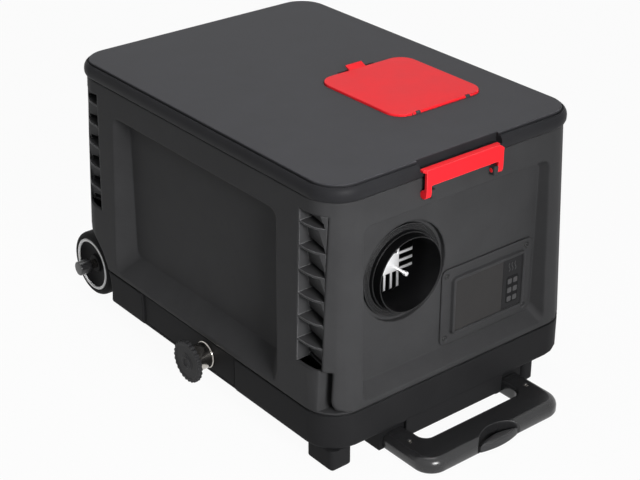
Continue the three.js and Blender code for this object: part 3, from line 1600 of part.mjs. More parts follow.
function handleGrip() {
  const outline = (z, inset) => {
    const y = [barFront + inset, gripBack + handleCorner];
    return roundedRing('z', z, [inset - handleHalf, handleHalf - inset], y, handleCorner - inset);
  };
  const solid = loft([
    outline(handleBottom, handleEdge),
    outline(handleBottom + handleEdge, 0),
    outline(handleTop - handleEdge, 0),
    outline(handleTop, handleEdge),
  ]);
  const high = beyond([handleBottom, handleTop]);
  const hollow = [-(handleHalf - handleArm), handleHalf - handleArm];
  const hollowY = [barBack, gripBack + handleCorner];
  const gap = loft(high.map((z) => roundedRing('z', z, hollow, hollowY, handleCorner / 2)));
  const pocketEnd = barFront + buttonStem + buttonTravel + fit;
  const pocket = loft([buttonShape(fit, barFront - overrun), buttonShape(fit, pocketEnd)]);
  let grip = solid
    .subtract(gap)
    .subtract(block(beyond([-handleHalf, handleHalf]), [gripBack, gripBack + handleCorner + overrun], high))
    .subtract(pocket);
  for (const side of [-1, 1]) {
    grip = grip.subtract(tubeBlock(side, fit, [tubeStart - fit, gripBack + overrun]));
  }
  return grip;
}
piece('handle_grip', handleGrip(), 'black');
piece(
  'handle_button',
  loft([
    buttonShape(0, buttonFace, buttonFaceShare),
    buttonShape(0, buttonFace + buttonRise / 2),
    buttonShape(0, barFront + buttonStem),
  ]),
  'black',
);

// The origin is under the middle of the whole, on the ground
const reachLeft = stubEnd - fit - capThickness - capBossRise;
const reachRight = wheelFace + capGap + axleCapLength;
const reachBack = wheelY + wheelRadius;
heater.position.set(-(reachLeft + reachRight) / 2, -(buttonFace + reachBack) / 2, 0);

export default heater;
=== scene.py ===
"""Looks of the trolley-case air heater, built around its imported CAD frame.

Shapes are drawn in millimetres in the frame that the CAD source is drawn in: x = 0 is the middle of the
case, y = 0 the front edge of its rim, z = 0 the ground. They are turned into metres of the row frame last.
"""

import math

import bmesh
import bpy
from mathutils import Matrix, Vector

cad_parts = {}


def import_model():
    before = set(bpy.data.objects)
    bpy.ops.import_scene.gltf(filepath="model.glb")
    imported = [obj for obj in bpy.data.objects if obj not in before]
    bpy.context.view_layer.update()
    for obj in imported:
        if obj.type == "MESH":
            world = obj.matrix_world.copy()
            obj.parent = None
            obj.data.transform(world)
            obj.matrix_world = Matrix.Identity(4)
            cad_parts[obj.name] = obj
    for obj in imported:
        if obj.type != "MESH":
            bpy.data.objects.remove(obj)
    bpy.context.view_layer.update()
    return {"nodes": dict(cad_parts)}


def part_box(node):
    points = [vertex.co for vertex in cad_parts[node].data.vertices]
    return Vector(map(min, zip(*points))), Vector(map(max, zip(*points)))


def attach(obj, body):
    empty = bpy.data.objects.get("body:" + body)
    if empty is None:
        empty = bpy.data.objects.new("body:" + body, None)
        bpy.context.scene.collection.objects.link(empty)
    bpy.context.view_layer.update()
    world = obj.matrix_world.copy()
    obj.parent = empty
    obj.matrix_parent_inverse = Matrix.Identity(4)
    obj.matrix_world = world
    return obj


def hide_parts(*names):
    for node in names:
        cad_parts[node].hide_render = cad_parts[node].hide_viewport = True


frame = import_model()

MM = 0.001

# How far a cutting tool reaches past the face that it cuts
OVERRUN = 5

# Keeps faces of two joined shapes from lying in one plane
SLIVER = 0.01

# Case
CASE_WIDTH = 304.6
CASE_LENGTH = 416.5
CASE_HEIGHT = 209.3
CASE_DRAFT = 6.1
CASE_CORNER = 33.6
CASE_BOTTOM = 62
CASE_TOP = CASE_BOTTOM + CASE_HEIGHT

# Lid
LID_WIDTH = 297.6
LID_LENGTH = 410
LID_FRONT = 3.2
LID_CORNER = 28.7
LID_BOTTOM = CASE_TOP + 0.3
LID_HEIGHT = 16.2
LID_TOP = LID_BOTTOM + LID_HEIGHT
LID_EDGE = 10
LID_ROOF = 3.7
NOTCH = (-52.55, 47.95)
NOTCH_BACK = 6.2

# Latch
LATCH_CENTRE = -2.3
LATCH_HALF = 47.25
LATCH_TOP = LID_TOP - 6.5
LATCH_PIVOT = (-3.5, LATCH_TOP - 25)
LATCH_LIP = 2.6

# Filler cover
COVER_X = (-3.5, 109.5)
COVER_Y = (82, 204)
COVER_CORNER = 18
COVER_TOP = LID_TOP + 2
COVER_BOTTOM = COVER_TOP - 3.7
COVER_BARREL = 1.5
COVER_AXIS = (COVER_Y[0] + COVER_BARREL, COVER_TOP - COVER_BARREL)
COVER_HOLE = 1.0
TAB_X = (38.7, 59.4)
FINGER_X = (27, 74)

# Outlet
DUCT = (-57.35, 177)
DUCT_RADIUS = 37.5
POCKET_FLOOR = 15
COLLAR_RADIUS = 46.3

# Wheels
WHEEL_RADIUS = 36.5
WHEEL = (429, WHEEL_RADIUS)
WHEEL_FACE = 143
WHEEL_WIDTH = 24

# Camera, in the drawing frame
CAMERA = (-882.08, -892.15, 843.86)

# Exhaust
EXHAUST = (189, 40.8)
STUB_END = -175.4
STUB_RADIUS = 13.4
STUB_BORE = 12.3

tray_low, tray_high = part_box("base_tray")
SHIFT = Vector(((tray_low.x + tray_high.x) / 2, tray_low.y + CASE_DRAFT * MM, 0))


# Mesh helpers
def link(mesh, name="shape"):
    made = bpy.data.objects.new(name, mesh)
    bpy.context.scene.collection.objects.link(made)
    return made


def solid(points, faces):
    mesh = bpy.data.meshes.new("shape")
    mesh.from_pydata([tuple(p) for p in points], [], faces)
    shape = bmesh.new()
    shape.from_mesh(mesh)
    bmesh.ops.recalc_face_normals(shape, faces=shape.faces)
    shape.to_mesh(mesh)
    shape.free()
    return link(mesh)


def place(axis, at, u, v):
    """Point at a place along the axis; u and v are its two other coordinates."""
    return {"x": (at, u, v), "y": (u, at, v), "z": (u, v, at)}[axis]


def grown(span, by):
    """Span made longer at both ends, or shorter where the length is negative."""
    return span[0] - by, span[1] + by


def ring(axis, at, u, v, radius, steps=8):
    """Rectangle with rounded corners across the axis."""
    corners = [(u[1] - radius, v[0] + radius), (u[1] - radius, v[1] - radius),
               (u[0] + radius, v[1] - radius), (u[0] + radius, v[0] + radius)]
    points = []
    for corner, (cu, cv) in enumerate(corners):
        for step in range(steps + 1):
            angle = math.pi / 2 * (corner - 1 + step / steps)
            points.append(place(axis, at, cu + radius * math.cos(angle), cv + radius * math.sin(angle)))
    return points


def circle(axis, centre, at, radius, sides):
    turn = 2 * math.pi / sides
    return [place(axis, at, centre[0] + radius * math.cos(i * turn), centre[1] + radius * math.sin(i * turn))
            for i in range(sides)]


def loft(rings, closed=False):
    """Skin through the rings, with an end face on the first and last ring unless it closes on itself."""
    count = len(rings[0])
    rows = len(rings)
    faces = []
    for k in range(rows if closed else rows - 1):
        for i in range(count):
            a, b = k * count + i, k * count + (i + 1) % count
            c, d = (k + 1) % rows * count + (i + 1) % count, (k + 1) % rows * count + i
            faces.append((a, b, c, d))
    if not closed:
        faces.append(tuple(range(count)))
        faces.append(tuple((rows - 1) * count + i for i in range(count)))
    return solid([p for r in rings for p in r], faces)


def lathe(axis, centre, profile, sides, closed=True):
    """Profile points are (radius, place along the axis)."""
    return loft([circle(axis, centre, at, radius, sides) for radius, at in profile], closed)


def block(x, y, z):
    """Box between two places on each axis."""
    return loft([[(x[0], y[0], at), (x[1], y[0], at), (x[1], y[1], at), (x[0], y[1], at)] for at in z])


def prism(axis, outline, span):
    """Outline of (u, v) points drawn out along the axis."""
    return loft([[place(axis, at, u, v) for u, v in outline] for at in span])


def rod(axis, centre, radius, span, sides):
    return lathe(axis, centre, [(radius, span[0]), (radius, span[1])], sides, closed=False)


def combine(shape, tools, operation):
    """Joins or cuts the shape with each tool, and removes the tools."""
    for tool in tools:
        modifier = shape.modifiers.new("cut", "BOOLEAN")
        modifier.operation = operation
        modifier.solver = "EXACT"
        modifier.object = tool
    bpy.context.view_layer.update()
    mesh = bpy.data.meshes.new_from_object(shape.evaluated_get(bpy.context.evaluated_depsgraph_get()))
    shape.modifiers.clear()
    shape.data = mesh
    for tool in tools:
        bpy.data.objects.remove(tool)
    return shape


def cut(shape, *tools):
    return combine(shape, tools, "DIFFERENCE")


def join(shape, *tools):
    return combine(shape, tools, "UNION")


def bevel(shape, width, segments, angle):
    """Rounds the edges that turn by more than the angle."""
    same_point = 0.001
    flat_angle = 0.5
    mesh = bmesh.new()
    mesh.from_mesh(shape.data)
    bmesh.ops.remove_doubles(mesh, verts=mesh.verts, dist=same_point)
    bmesh.ops.dissolve_limit(mesh, angle_limit=math.radians(flat_angle), verts=mesh.verts, edges=mesh.edges)
    edges = [e for e in mesh.edges if e.is_manifold and e.calc_face_angle(0) > math.radians(angle)]
    bmesh.ops.bevel(mesh, geom=edges, offset=width, offset_type="OFFSET", segments=segments, profile=0.5,
                    affect="EDGES", clamp_overlap=True)
    mesh.to_mesh(shape.data)
    mesh.free()
    return shape


def shade(made, smooth):
    made.data.shade_smooth()
    made.data.set_sharp_from_angle(angle=math.radians(smooth))
    modifier = made.modifiers.new("normals", "WEIGHTED_NORMAL")
    modifier.keep_sharp = True
    modifier.weight = 80


def piece(shape, name, body, finish, slot, *nodes, smooth=35):
    """Finished visible piece: metres, smooth shading, material, its body and the nodes it stands for."""
    shape.data.transform(Matrix.Translation(SHIFT) @ Matrix.Scale(MM, 4))
    shape.name = name
    shape.data.name = name
    shape.data.materials.clear()
    shape.data.materials.append(finish)
    shade(shape, smooth)
    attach(shape, body)
    if nodes:
        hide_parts(*nodes)
    return shape


def node_copy(node):
    """Copy of a CAD node's mesh, back in millimetres in the drawing frame."""
    same_point = 0.005
    mesh = frame["nodes"][node].data.copy()
    mesh.transform(Matrix.Scale(1 / MM, 4) @ Matrix.Translation(-SHIFT))
    shape = bmesh.new()
    shape.from_mesh(mesh)
    bmesh.ops.remove_doubles(shape, verts=shape.verts, dist=same_point)
    shape.to_mesh(mesh)
    shape.free()
    return link(mesh, "copy")


# Materials

# Places of the two colours and the result among the sockets of a colour mix
MIX_COLOURS = (6, 7)
MIX_RESULT = 2

# Size of the slow variation in colour and gloss, in metres
SMUDGE_SIZE = 0.03

# Where the noise reaches the darkest and the lightest shade
TONE_STOPS = (0.3, 0.7)

# Change of the roughness on either side of its middle
GLOSS_SWING = 0.06

# How far two normals agree where the lighter edge starts, and where it is full; the lighter edge is painted
# partly as wear and partly as highlight
WEAR_AND_HIGHLIGHT_FROM = 0.999
WEAR_AND_HIGHLIGHT_TO = 0.9

# Edges, lightened partly as wear and partly as painted highlight, are this much brighter where no colour is
# given for them
WEAR_AND_HIGHLIGHT_BRIGHTER = 2.2


def linear(value):
    """Linear light of a colour level between 0 and 255."""
    value /= 255
    return value / 12.92 if value <= 0.04045 else ((value + 0.055) / 1.055) ** 2.4


def rgb(r, g, b):
    return (linear(r), linear(g), linear(b), 1)


def scaled(colour, share):
    return (*(min(1, c * share) for c in colour[:3]), 1)


def new_material(name):
    made = bpy.data.materials.new(name)
    made.use_nodes = True
    nodes, links = made.node_tree.nodes, made.node_tree.links
    shader = nodes["Principled BSDF"]
    return made, nodes, links, shader


def noise(nodes, links, coordinates, size, detail, roughness):
    made = nodes.new("ShaderNodeTexNoise")
    made.inputs["Scale"].default_value = 1 / size
    made.inputs["Detail"].default_value = detail
    made.inputs["Roughness"].default_value = roughness
    links.new(coordinates, made.inputs["Vector"])
    return made.outputs["Fac"]


def ramp(nodes, links, value, stops):
    made = nodes.new("ShaderNodeValToRGB")
    for element, (at, colour) in zip(made.color_ramp.elements, stops):
        element.position = at
        element.color = colour
    links.new(value, made.inputs["Fac"])
    return made.outputs["Color"]


def spread(nodes, links, value, low, high):
    made = nodes.new("ShaderNodeMapRange")
    made.inputs["To Min"].default_value = low
    made.inputs["To Max"].default_value = high
    links.new(value, made.inputs["Value"])
    return made.outputs["Result"]


def mixed(nodes, links, factor, first, second):
    made = nodes.new("ShaderNodeMix")
    made.data_type = "RGBA"
    links.new(factor, made.inputs["Factor"])
    for place_of, value in zip(MIX_COLOURS, (first, second)):
        socket = made.inputs[place_of]
        if hasattr(value, "links"):
            links.new(value, socket)
        else:
            socket.default_value = value
    return made.outputs[MIX_RESULT]


def rounded_normal(nodes, radius):
    made = nodes.new("ShaderNodeBevel")
    made.samples = 6
    made.inputs["Radius"].default_value = radius
    return made.outputs["Normal"]


def surface(name, colour, rough, grain=0.0012, depth=0.00006, variation=0.08, edge=0.25, edge_width=0.0007,
            edge_colour=None, soft_width=0.0009, specular=0.5, metallic=0.0, stretch=(1, 1, 1)):
    """Moulded or cast surface: fine grain, slow colour variation, uneven gloss and lighter edges, painted
    partly as wear and partly as highlight where light catches them.
    """
    made, nodes, links, shader = new_material(name)
    coords = nodes.new("ShaderNodeTexCoord").outputs["Object"]
    mapping = nodes.new("ShaderNodeMapping")
    mapping.inputs["Scale"].default_value = stretch
    links.new(coords, mapping.inputs["Vector"])
    vector = mapping.outputs["Vector"]
    slow = noise(nodes, links, vector, SMUDGE_SIZE, detail=4, roughness=0.6)
    shades = scaled(colour, 1 - variation), scaled(colour, 1 + variation)
    tone = ramp(nodes, links, slow, zip(TONE_STOPS, shades))
    fine = noise(nodes, links, vector, grain, detail=2, roughness=0.5)
    geometry = nodes.new("ShaderNodeNewGeometry")
    product = nodes.new("ShaderNodeVectorMath")
    product.operation = "DOT_PRODUCT"
    links.new(rounded_normal(nodes, edge_width), product.inputs[0])
    links.new(geometry.outputs["Normal"], product.inputs[1])
    # Lighter edges: partly wear, partly a painted highlight where light catches the edges
    wear_and_highlight = nodes.new("ShaderNodeMapRange")
    wear_and_highlight.inputs["From Min"].default_value = WEAR_AND_HIGHLIGHT_FROM
    wear_and_highlight.inputs["From Max"].default_value = WEAR_AND_HIGHLIGHT_TO
    wear_and_highlight.inputs["To Max"].default_value = edge
    links.new(product.outputs["Value"], wear_and_highlight.inputs["Value"])
    base = mixed(nodes, links, wear_and_highlight.outputs["Result"], tone, edge_colour or scaled(colour, WEAR_AND_HIGHLIGHT_BRIGHTER))
    links.new(base, shader.inputs["Base Color"])
    gloss = spread(nodes, links, slow, rough - GLOSS_SWING, rough + GLOSS_SWING)
    links.new(gloss, shader.inputs["Roughness"])
    bump = nodes.new("ShaderNodeBump")
    bump.inputs["Strength"].default_value = 1
    bump.inputs["Distance"].default_value = depth
    links.new(fine, bump.inputs["Height"])
    links.new(rounded_normal(nodes, soft_width), bump.inputs["Normal"])
    links.new(bump.outputs["Normal"], shader.inputs["Normal"])
    shader.inputs["Metallic"].default_value = metallic
    shader.inputs["Specular IOR Level"].default_value = specular
    return made


def paint_shade_along(made, axis, start, end, share):
    """Painted shade: darkens the colour by the share from the start to the end of an axis of the row frame.
    """
    nodes, links = made.node_tree.nodes, made.node_tree.links
    shader = nodes["Principled BSDF"]
    parts = nodes.new("ShaderNodeSeparateXYZ")
    links.new(nodes["Texture Coordinate"].outputs["Object"], parts.inputs["Vector"])
    reach = nodes.new("ShaderNodeMapRange")
    reach.inputs["From Min"].default_value = start
    reach.inputs["From Max"].default_value = end
    reach.inputs["To Max"].default_value = share
    links.new(parts.outputs[axis], reach.inputs["Value"])
    tone = shader.inputs["Base Color"].links[0].from_socket
    links.new(mixed(nodes, links, reach.outputs["Result"], tone, (0, 0, 0, 1)), shader.inputs["Base Color"])


casing = surface("casing_plastic", rgb(56, 56, 57), rough=0.5, specular=0.05, soft_width=0.003)
tray_plastic = surface("tray_plastic", rgb(34, 34, 35), rough=0.55, specular=0.04, soft_width=0.0025,
                       edge=0.2)
# Painted highlight: the light edge colour of the louvers stands in for light catching the top edges of their
# ribs
louver_plastic = surface("louver_plastic", rgb(60, 60, 61), rough=0.45, specular=0.1, edge=0.6,
                         edge_colour=rgb(150, 150, 152))
lid_plastic = surface("lid_plastic", rgb(64, 64, 67), rough=0.48, specular=0.06)
# Painted highlight: the pink edge colour of the red parts stands in for the light rim along their edges
red = surface("red_plastic", rgb(240, 36, 45), rough=0.42, grain=0.0015, depth=0.00003, variation=0.03,
              edge=0.5, edge_colour=rgb(255, 120, 125), specular=0.12)
black = surface("black_plastic", rgb(36, 36, 37), rough=0.25, depth=0.00002, edge=0.2)
matt_black = surface("matt_black_plastic", rgb(24, 24, 25), rough=0.55, specular=0.06, edge=0.15)
button_gray = surface("button_plastic", rgb(58, 58, 59), rough=0.45, specular=0.15, edge=0.1)
knob_plastic = surface("knob_plastic", rgb(42, 42, 43), rough=0.5, specular=0.12, edge=0.3)
# Painted highlight: the light edge colour of the outlet parts stands in for the bright glossy line along the
# collar's rim
outlet_black = surface("outlet_plastic", rgb(14, 14, 15), rough=0.4, depth=0.00002, specular=0.08,
                       edge=0.35, edge_colour=rgb(112, 112, 113), edge_width=0.0005)
tyre_rubber = surface("tyre_rubber", rgb(26, 26, 27), rough=0.72, grain=0.0016, depth=0.00015, specular=0.1,
                      edge=0.1)
seal_rubber = surface("seal_rubber", rgb(22, 22, 22), rough=0.8, specular=0.2)
aluminium = surface("cast_aluminium", rgb(250, 250, 251), rough=0.34, grain=0.0008, variation=0.04,
                    metallic=0.85, edge=0.1)
pump_metal = surface("pump_metal", rgb(200, 201, 203), rough=0.4, metallic=0.8, edge=0.1)
steel = surface("polished_steel", rgb(186, 182, 176), rough=0.18, grain=0.0006, depth=0.00001,
                variation=0.08, metallic=1, edge=0.1, stretch=(0.1, 1, 1))
white_trim = surface("white_trim", rgb(252, 252, 252), rough=0.35, depth=0.00002, variation=0.01, edge=0.0)
display = surface("display_window", rgb(46, 45, 45), rough=0.2, depth=0.000004, variation=0.05,
                  specular=0.09)
keypad = surface("keypad_film", rgb(36, 36, 37), rough=0.4, depth=0.00002, specular=0.05)
icon_paint = surface("icon_paint", rgb(48, 48, 49), rough=0.5, depth=0.00001, variation=0.03, edge=0.0)
tank_plastic = surface("tank_plastic", rgb(222, 218, 204), rough=0.45, variation=0.05)
board = surface("circuit_board", rgb(24, 78, 44), rough=0.4, grain=0.003, depth=0.00005, variation=0.2)
hose = surface("hose_rubber", rgb(34, 34, 34), rough=0.6, specular=0.3)

# Painted shade: the exchanger's colour goes dark behind the front of its fins, which stand behind the sensor,
# for the shade that falls between the fins
SENSOR_REACH = 12.5
FINS_SHADE_FROM, FINS_SHADE_TO = 0.3, 1.8
FINS_SHADE_SHARE = 0.99

# Painted shade: the lid's colour is darker below its top face, for the shade on its sides that face away from
# the light
LID_SHADE_FROM, LID_SHADE_TO = 0.3, 1.5
LID_SHADE_SHARE = 0.62

fins_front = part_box("heat_exchanger")[0].y + SENSOR_REACH * MM
paint_shade_along(aluminium, "Y", fins_front + FINS_SHADE_FROM * MM, fins_front + FINS_SHADE_TO * MM,
             FINS_SHADE_SHARE)
paint_shade_along(lid_plastic, "Z", (LID_TOP - LID_SHADE_FROM) * MM, (LID_TOP - LID_SHADE_TO) * MM, LID_SHADE_SHARE)


# Camera, light and studio
CAMERA_LENS = 86.08
CAMERA_SENSOR = 36
CAMERA_TILT = 62.5
CAMERA_TURN = -38.85
AMBIENT_STRENGTH = 0.15
FLOOR_TONE = 0.6
FLOOR_WHITE_SHARE = 0.95
FLOOR_REACH = 6
FLOOR_Z = (-0.02, -0.0005)
WHITE = (1, 1, 1, 1)


def camera():
    data = bpy.data.cameras.new("camera")
    data.lens = CAMERA_LENS
    data.sensor_width = CAMERA_SENSOR
    data.sensor_fit = "HORIZONTAL"
    made = bpy.data.objects.new("camera", data)
    made.location = SHIFT + Vector(CAMERA) * MM
    made.rotation_euler = (math.radians(CAMERA_TILT), 0, math.radians(CAMERA_TURN))
    bpy.context.scene.collection.objects.link(made)
    bpy.context.scene.camera = made


def seen_directly(nodes, links):
    """1 for camera, glossy and transmission rays, which are the ones that show the white background."""
    path = nodes.new("ShaderNodeLightPath")
    total = path.outputs["Is Camera Ray"]
    for other in ("Is Glossy Ray", "Is Transmission Ray"):
        most = nodes.new("ShaderNodeMath")
        most.operation = "MAXIMUM"
        links.new(total, most.inputs[0])
        links.new(path.outputs[other], most.inputs[1])
        total = most.outputs["Value"]
    return total


def world():
    made = bpy.data.worlds.new("studio")
    bpy.context.scene.world = made
    made.use_nodes = True
    nodes, links = made.node_tree.nodes, made.node_tree.links
    nodes.clear()
    ambient, white, mix, out = (nodes.new(kind) for kind in (
        "ShaderNodeBackground", "ShaderNodeBackground", "ShaderNodeMixShader", "ShaderNodeOutputWorld"))
    ambient.inputs["Color"].default_value = WHITE
    ambient.inputs["Strength"].default_value = AMBIENT_STRENGTH
    white.inputs["Color"].default_value = WHITE
    white.inputs["Strength"].default_value = 1
    links.new(seen_directly(nodes, links), mix.inputs[0])
    links.new(ambient.outputs[0], mix.inputs[1])
    links.new(white.outputs[0], mix.inputs[2])
    links.new(mix.outputs[0], out.inputs["Surface"])


def floor():
    made, nodes, links, shader = new_material("studio_floor")
    shader.inputs["Base Color"].default_value = (FLOOR_TONE, FLOOR_TONE, FLOOR_TONE, 1)
    shader.inputs["Roughness"].default_value = 0.9
    shader.inputs["Specular IOR Level"].default_value = 0
    glow = nodes.new("ShaderNodeEmission")
    glow.inputs["Strength"].default_value = 1
    mix = nodes.new("ShaderNodeMixShader")
    share = nodes.new("ShaderNodeMath")
    share.operation = "MULTIPLY"
    share.inputs[1].default_value = FLOOR_WHITE_SHARE
    links.new(seen_directly(nodes, links), share.inputs[0])
    links.new(share.outputs["Value"], mix.inputs[0])
    links.new(shader.outputs["BSDF"], mix.inputs[1])
    links.new(glow.outputs[0], mix.inputs[2])
    links.new(mix.outputs[0], nodes["Material Output"].inputs["Surface"])
    plane = block((-FLOOR_REACH, FLOOR_REACH), (-FLOOR_REACH, FLOOR_REACH), FLOOR_Z)
    plane.name = "studio_floor"
    plane.data.materials.append(made)


def lamp(name, at, aim, size, power, beam):
    """Square lamp; the beam is its opening angle in degrees."""
    data = bpy.data.lights.new(name, "AREA")
    data.spread = math.radians(beam)
    data.shape = "RECTANGLE"
    data.size, data.size_y = size, size
    data.energy = power
    made = bpy.data.objects.new(name, data)
    made.location = at
    made.rotation_euler = (Vector(aim) - Vector(at)).to_track_quat("-Z", "Y").to_euler()
    bpy.context.scene.collection.objects.link(made)


bpy.context.scene.view_settings.view_transform = "Standard"
camera()
world()
floor()
lamp("overhead", at=(0.2, 0.3, 2.2), aim=(0, 0, 0), size=1.4, power=18, beam=180)
lamp("front", at=(-0.35, -1.35, 0.65), aim=(-0.14, -0.2, 0.2), size=0.5, power=2.1, beam=45)


# Case, tray and what is moulded on them
EDGE_ANGLE = 28
APRON_X = (-63.2, 63.2)
APRON_Y = (-6.1, -3.5)
APRON_Z = (6.5, 26)


def carried(node, name, body, finish, slot, width):
    """CAD node with its edges rounded."""
    shape = bevel(node_copy(node), width, segments=2, angle=EDGE_ANGLE)
    return piece(shape, name, body, finish, slot, node)


def tray():
    """Tray, whose apron reaches close to the handle's arms."""
    shape = node_copy("base_tray")
    return bevel(join(shape, block(APRON_X, APRON_Y, APRON_Z)), width=0.6, segments=2, angle=EDGE_ANGLE)


carried("case_body", "case_shell", "case", casing, "casing", width=0.7)
piece(tray(), "tray_shell", "case", tray_plastic, "casing", "base_tray")
for corner in ("front_left", "front_right", "rear_left", "rear_right"):
    carried(f"corner_louver_{corner}", f"louver_{corner}", "case", louver_plastic, "casing", width=0.35)
for node in ("exhaust_side_plate", "intake_side_plate", "foot_left", "foot_right"):
    carried(node, f"{node}_shell", "case", tray_plastic, "casing", width=0.5)
for side in ("left", "right"):
    carried(f"handle_sleeve_{side}", f"sleeve_{side}", "case", matt_black, "black_plastic", width=0.6)


# Lid

# Points of the bead are (height above the lid's bottom, reach past its straight side)
LID_BEAD = [(0, 3.0), (1, 4.0), (3.5, 5.2), (7, 5.4), (10, 4.9), (12.4, 3.7), (13.6, 2.5), (14.0, 1.9),
            (13.9, 1.4), (12.9, 1.1), (12.7, 0.6), (13.0, 0.1), (15.2, 0), (15.9, -0.3), (16.2, -1.0)]
SEAL_GROOVE = (5.3, 8.6)
SEAL_GROOVE_TOP = LID_BOTTOM + 2.6
LEDGE_GAP = 0.3
NOTCH_FRONT = -20
POCKET_GAP = 0.3
COVER_GAP = 0.4
COVER_CHAMFER = 0.5
WELL_MARGIN = 12
WELL_CORNER = 6.4
SCOOP_FLOOR = COVER_BOTTOM - 0.2
EAR_WIDTH = 5.2
EAR_INSET = 22
EAR_STARTS = (COVER_X[0] + EAR_INSET, COVER_X[1] - EAR_INSET - EAR_WIDTH)
EAR_GAP = 0.3
EAR_POCKET = 3.4
EAR_SUNK = 0.5
PIN_HOLE_PAST = 0.3
HINGE = (CASE_LENGTH + 7.5, LID_BOTTOM - 4)
HINGE_X = (-28.5, 31.5)
HINGE_BARREL = 4.6
HINGE_BORE = 2.3
HINGE_ARM_FRONT = CASE_LENGTH - 5
HINGE_ARM_BOTTOM = LID_BOTTOM + 0.1
HINGE_ARM_TOP = LID_BOTTOM + 5
HINGE_HOLE_X = (-60, 60)
HINGE_WEB = 2.3


def case_ring(z, inset):
    half = CASE_WIDTH / 2 - inset
    return ring("z", z, (-half, half), (inset, CASE_LENGTH - inset), CASE_CORNER - inset, steps=10)


def lid_ring(z, outset):
    half = LID_WIDTH / 2 + outset
    length = grown((LID_FRONT, LID_FRONT + LID_LENGTH), outset)
    return ring("z", z, (-half, half), length, LID_CORNER + outset, steps=10)


def lid_hollows():
    """Space under the roof, groove of the seal and notch of the latch."""
    low = LID_BOTTOM - OVERRUN
    outer, inner = SEAL_GROOVE
    cavity = loft([case_ring(low, LID_EDGE), case_ring(LID_TOP - LID_ROOF, LID_EDGE)])
    groove = loft([case_ring(low, outer), case_ring(SEAL_GROOVE_TOP, outer),
                   case_ring(SEAL_GROOVE_TOP, inner), case_ring(low, inner)], closed=True)
    notch = block(NOTCH, (NOTCH_FRONT, NOTCH_BACK), (LATCH_TOP - LATCH_LIP - LEDGE_GAP, LID_TOP + OVERRUN))
    return [cavity, groove, notch]


def cover_seat():
    """Pocket of the filler cover, the well under it and the scoop for a finger at its tab."""
    spans = [grown(span, COVER_GAP) for span in (COVER_X, COVER_Y)]
    wider = [grown(span, COVER_CHAMFER) for span in spans]
    corner = COVER_CORNER + COVER_GAP
    pocket = loft([ring("z", COVER_BOTTOM - POCKET_GAP, *spans, corner),
                   ring("z", LID_TOP - COVER_CHAMFER, *spans, corner),
                   ring("z", LID_TOP + SLIVER, *wider, corner + COVER_CHAMFER),
                   ring("z", LID_TOP + OVERRUN, *wider, corner + COVER_CHAMFER)])
    inside = [grown(span, -WELL_MARGIN) for span in (COVER_X, COVER_Y)]
    well = loft([ring("z", z, *inside, WELL_CORNER) for z in (LID_BOTTOM - OVERRUN, LID_TOP)])
    end = COVER_Y[1]
    scoop = [(end - 5, SCOOP_FLOOR), (end + 3.5, SCOOP_FLOOR), (end + 5.6, LID_TOP - 1.2),
             (end + 6, LID_TOP + SLIVER), (end + 6, LID_TOP + OVERRUN), (end - 5, LID_TOP + OVERRUN)]
    return [pocket, well, prism("x", scoop, FINGER_X)]


def cover_ears():
    """Two ears that hold the filler cover's pin."""
    foot = grown((COVER_AXIS[0], COVER_AXIS[0]), COVER_BARREL)
    ears = []
    for start in EAR_STARTS:
        span = (start, start + EAR_WIDTH)
        ears.append(block(span, foot, (COVER_BOTTOM - EAR_SUNK, COVER_AXIS[1])))
        ears.append(rod("x", COVER_AXIS, COVER_BARREL, grown(span, -SLIVER), sides=20))
    return ears


def hinge_knuckle():
    y, z = HINGE
    barrel = rod("x", HINGE, HINGE_BARREL, HINGE_X, sides=24)
    arm = block(HINGE_X, (HINGE_ARM_FRONT, y), (HINGE_ARM_BOTTOM, HINGE_ARM_TOP))
    drop = block(grown(HINGE_X, -SLIVER), grown((y, y), HINGE_WEB), (z, HINGE_ARM_TOP - SLIVER))
    return [barrel, arm, drop]


def lid():
    shape = loft([lid_ring(LID_BOTTOM + up, out) for up, out in LID_BEAD])
    shape = cut(shape, *lid_hollows(), *cover_seat())
    shape = join(shape, *cover_ears(), *hinge_knuckle())
    pin_span = grown(grown(COVER_X, -COVER_CORNER), PIN_HOLE_PAST)
    pin_hole = rod("x", COVER_AXIS, COVER_HOLE, pin_span, sides=16)
    hinge_hole = rod("x", HINGE, HINGE_BORE, HINGE_HOLE_X, sides=20)
    return cut(shape, hinge_hole, pin_hole)


piece(lid(), "lid_shell", "lid", lid_plastic, "lid_plastic", "lid", smooth=38)


# Filler cover

# Points of the tab are (reach past the cover's end, height above its top)
TAB = [(-3, -2.2), (0, -2.2), (6.6, 1.2), (7, 1.7), (7, 2.7), (6.4, 3.2), (-0.2, 0.25), (-3, -0.05)]

# Levels of the plate are (height, inset of its outline)
COVER_LEVELS = [(COVER_BOTTOM, 0.5), (COVER_BOTTOM + 0.5, 0), (COVER_TOP - 1.1, 0), (COVER_TOP - 0.5, 0.15),
                (COVER_TOP - 0.15, 0.5), (COVER_TOP, 1.1)]


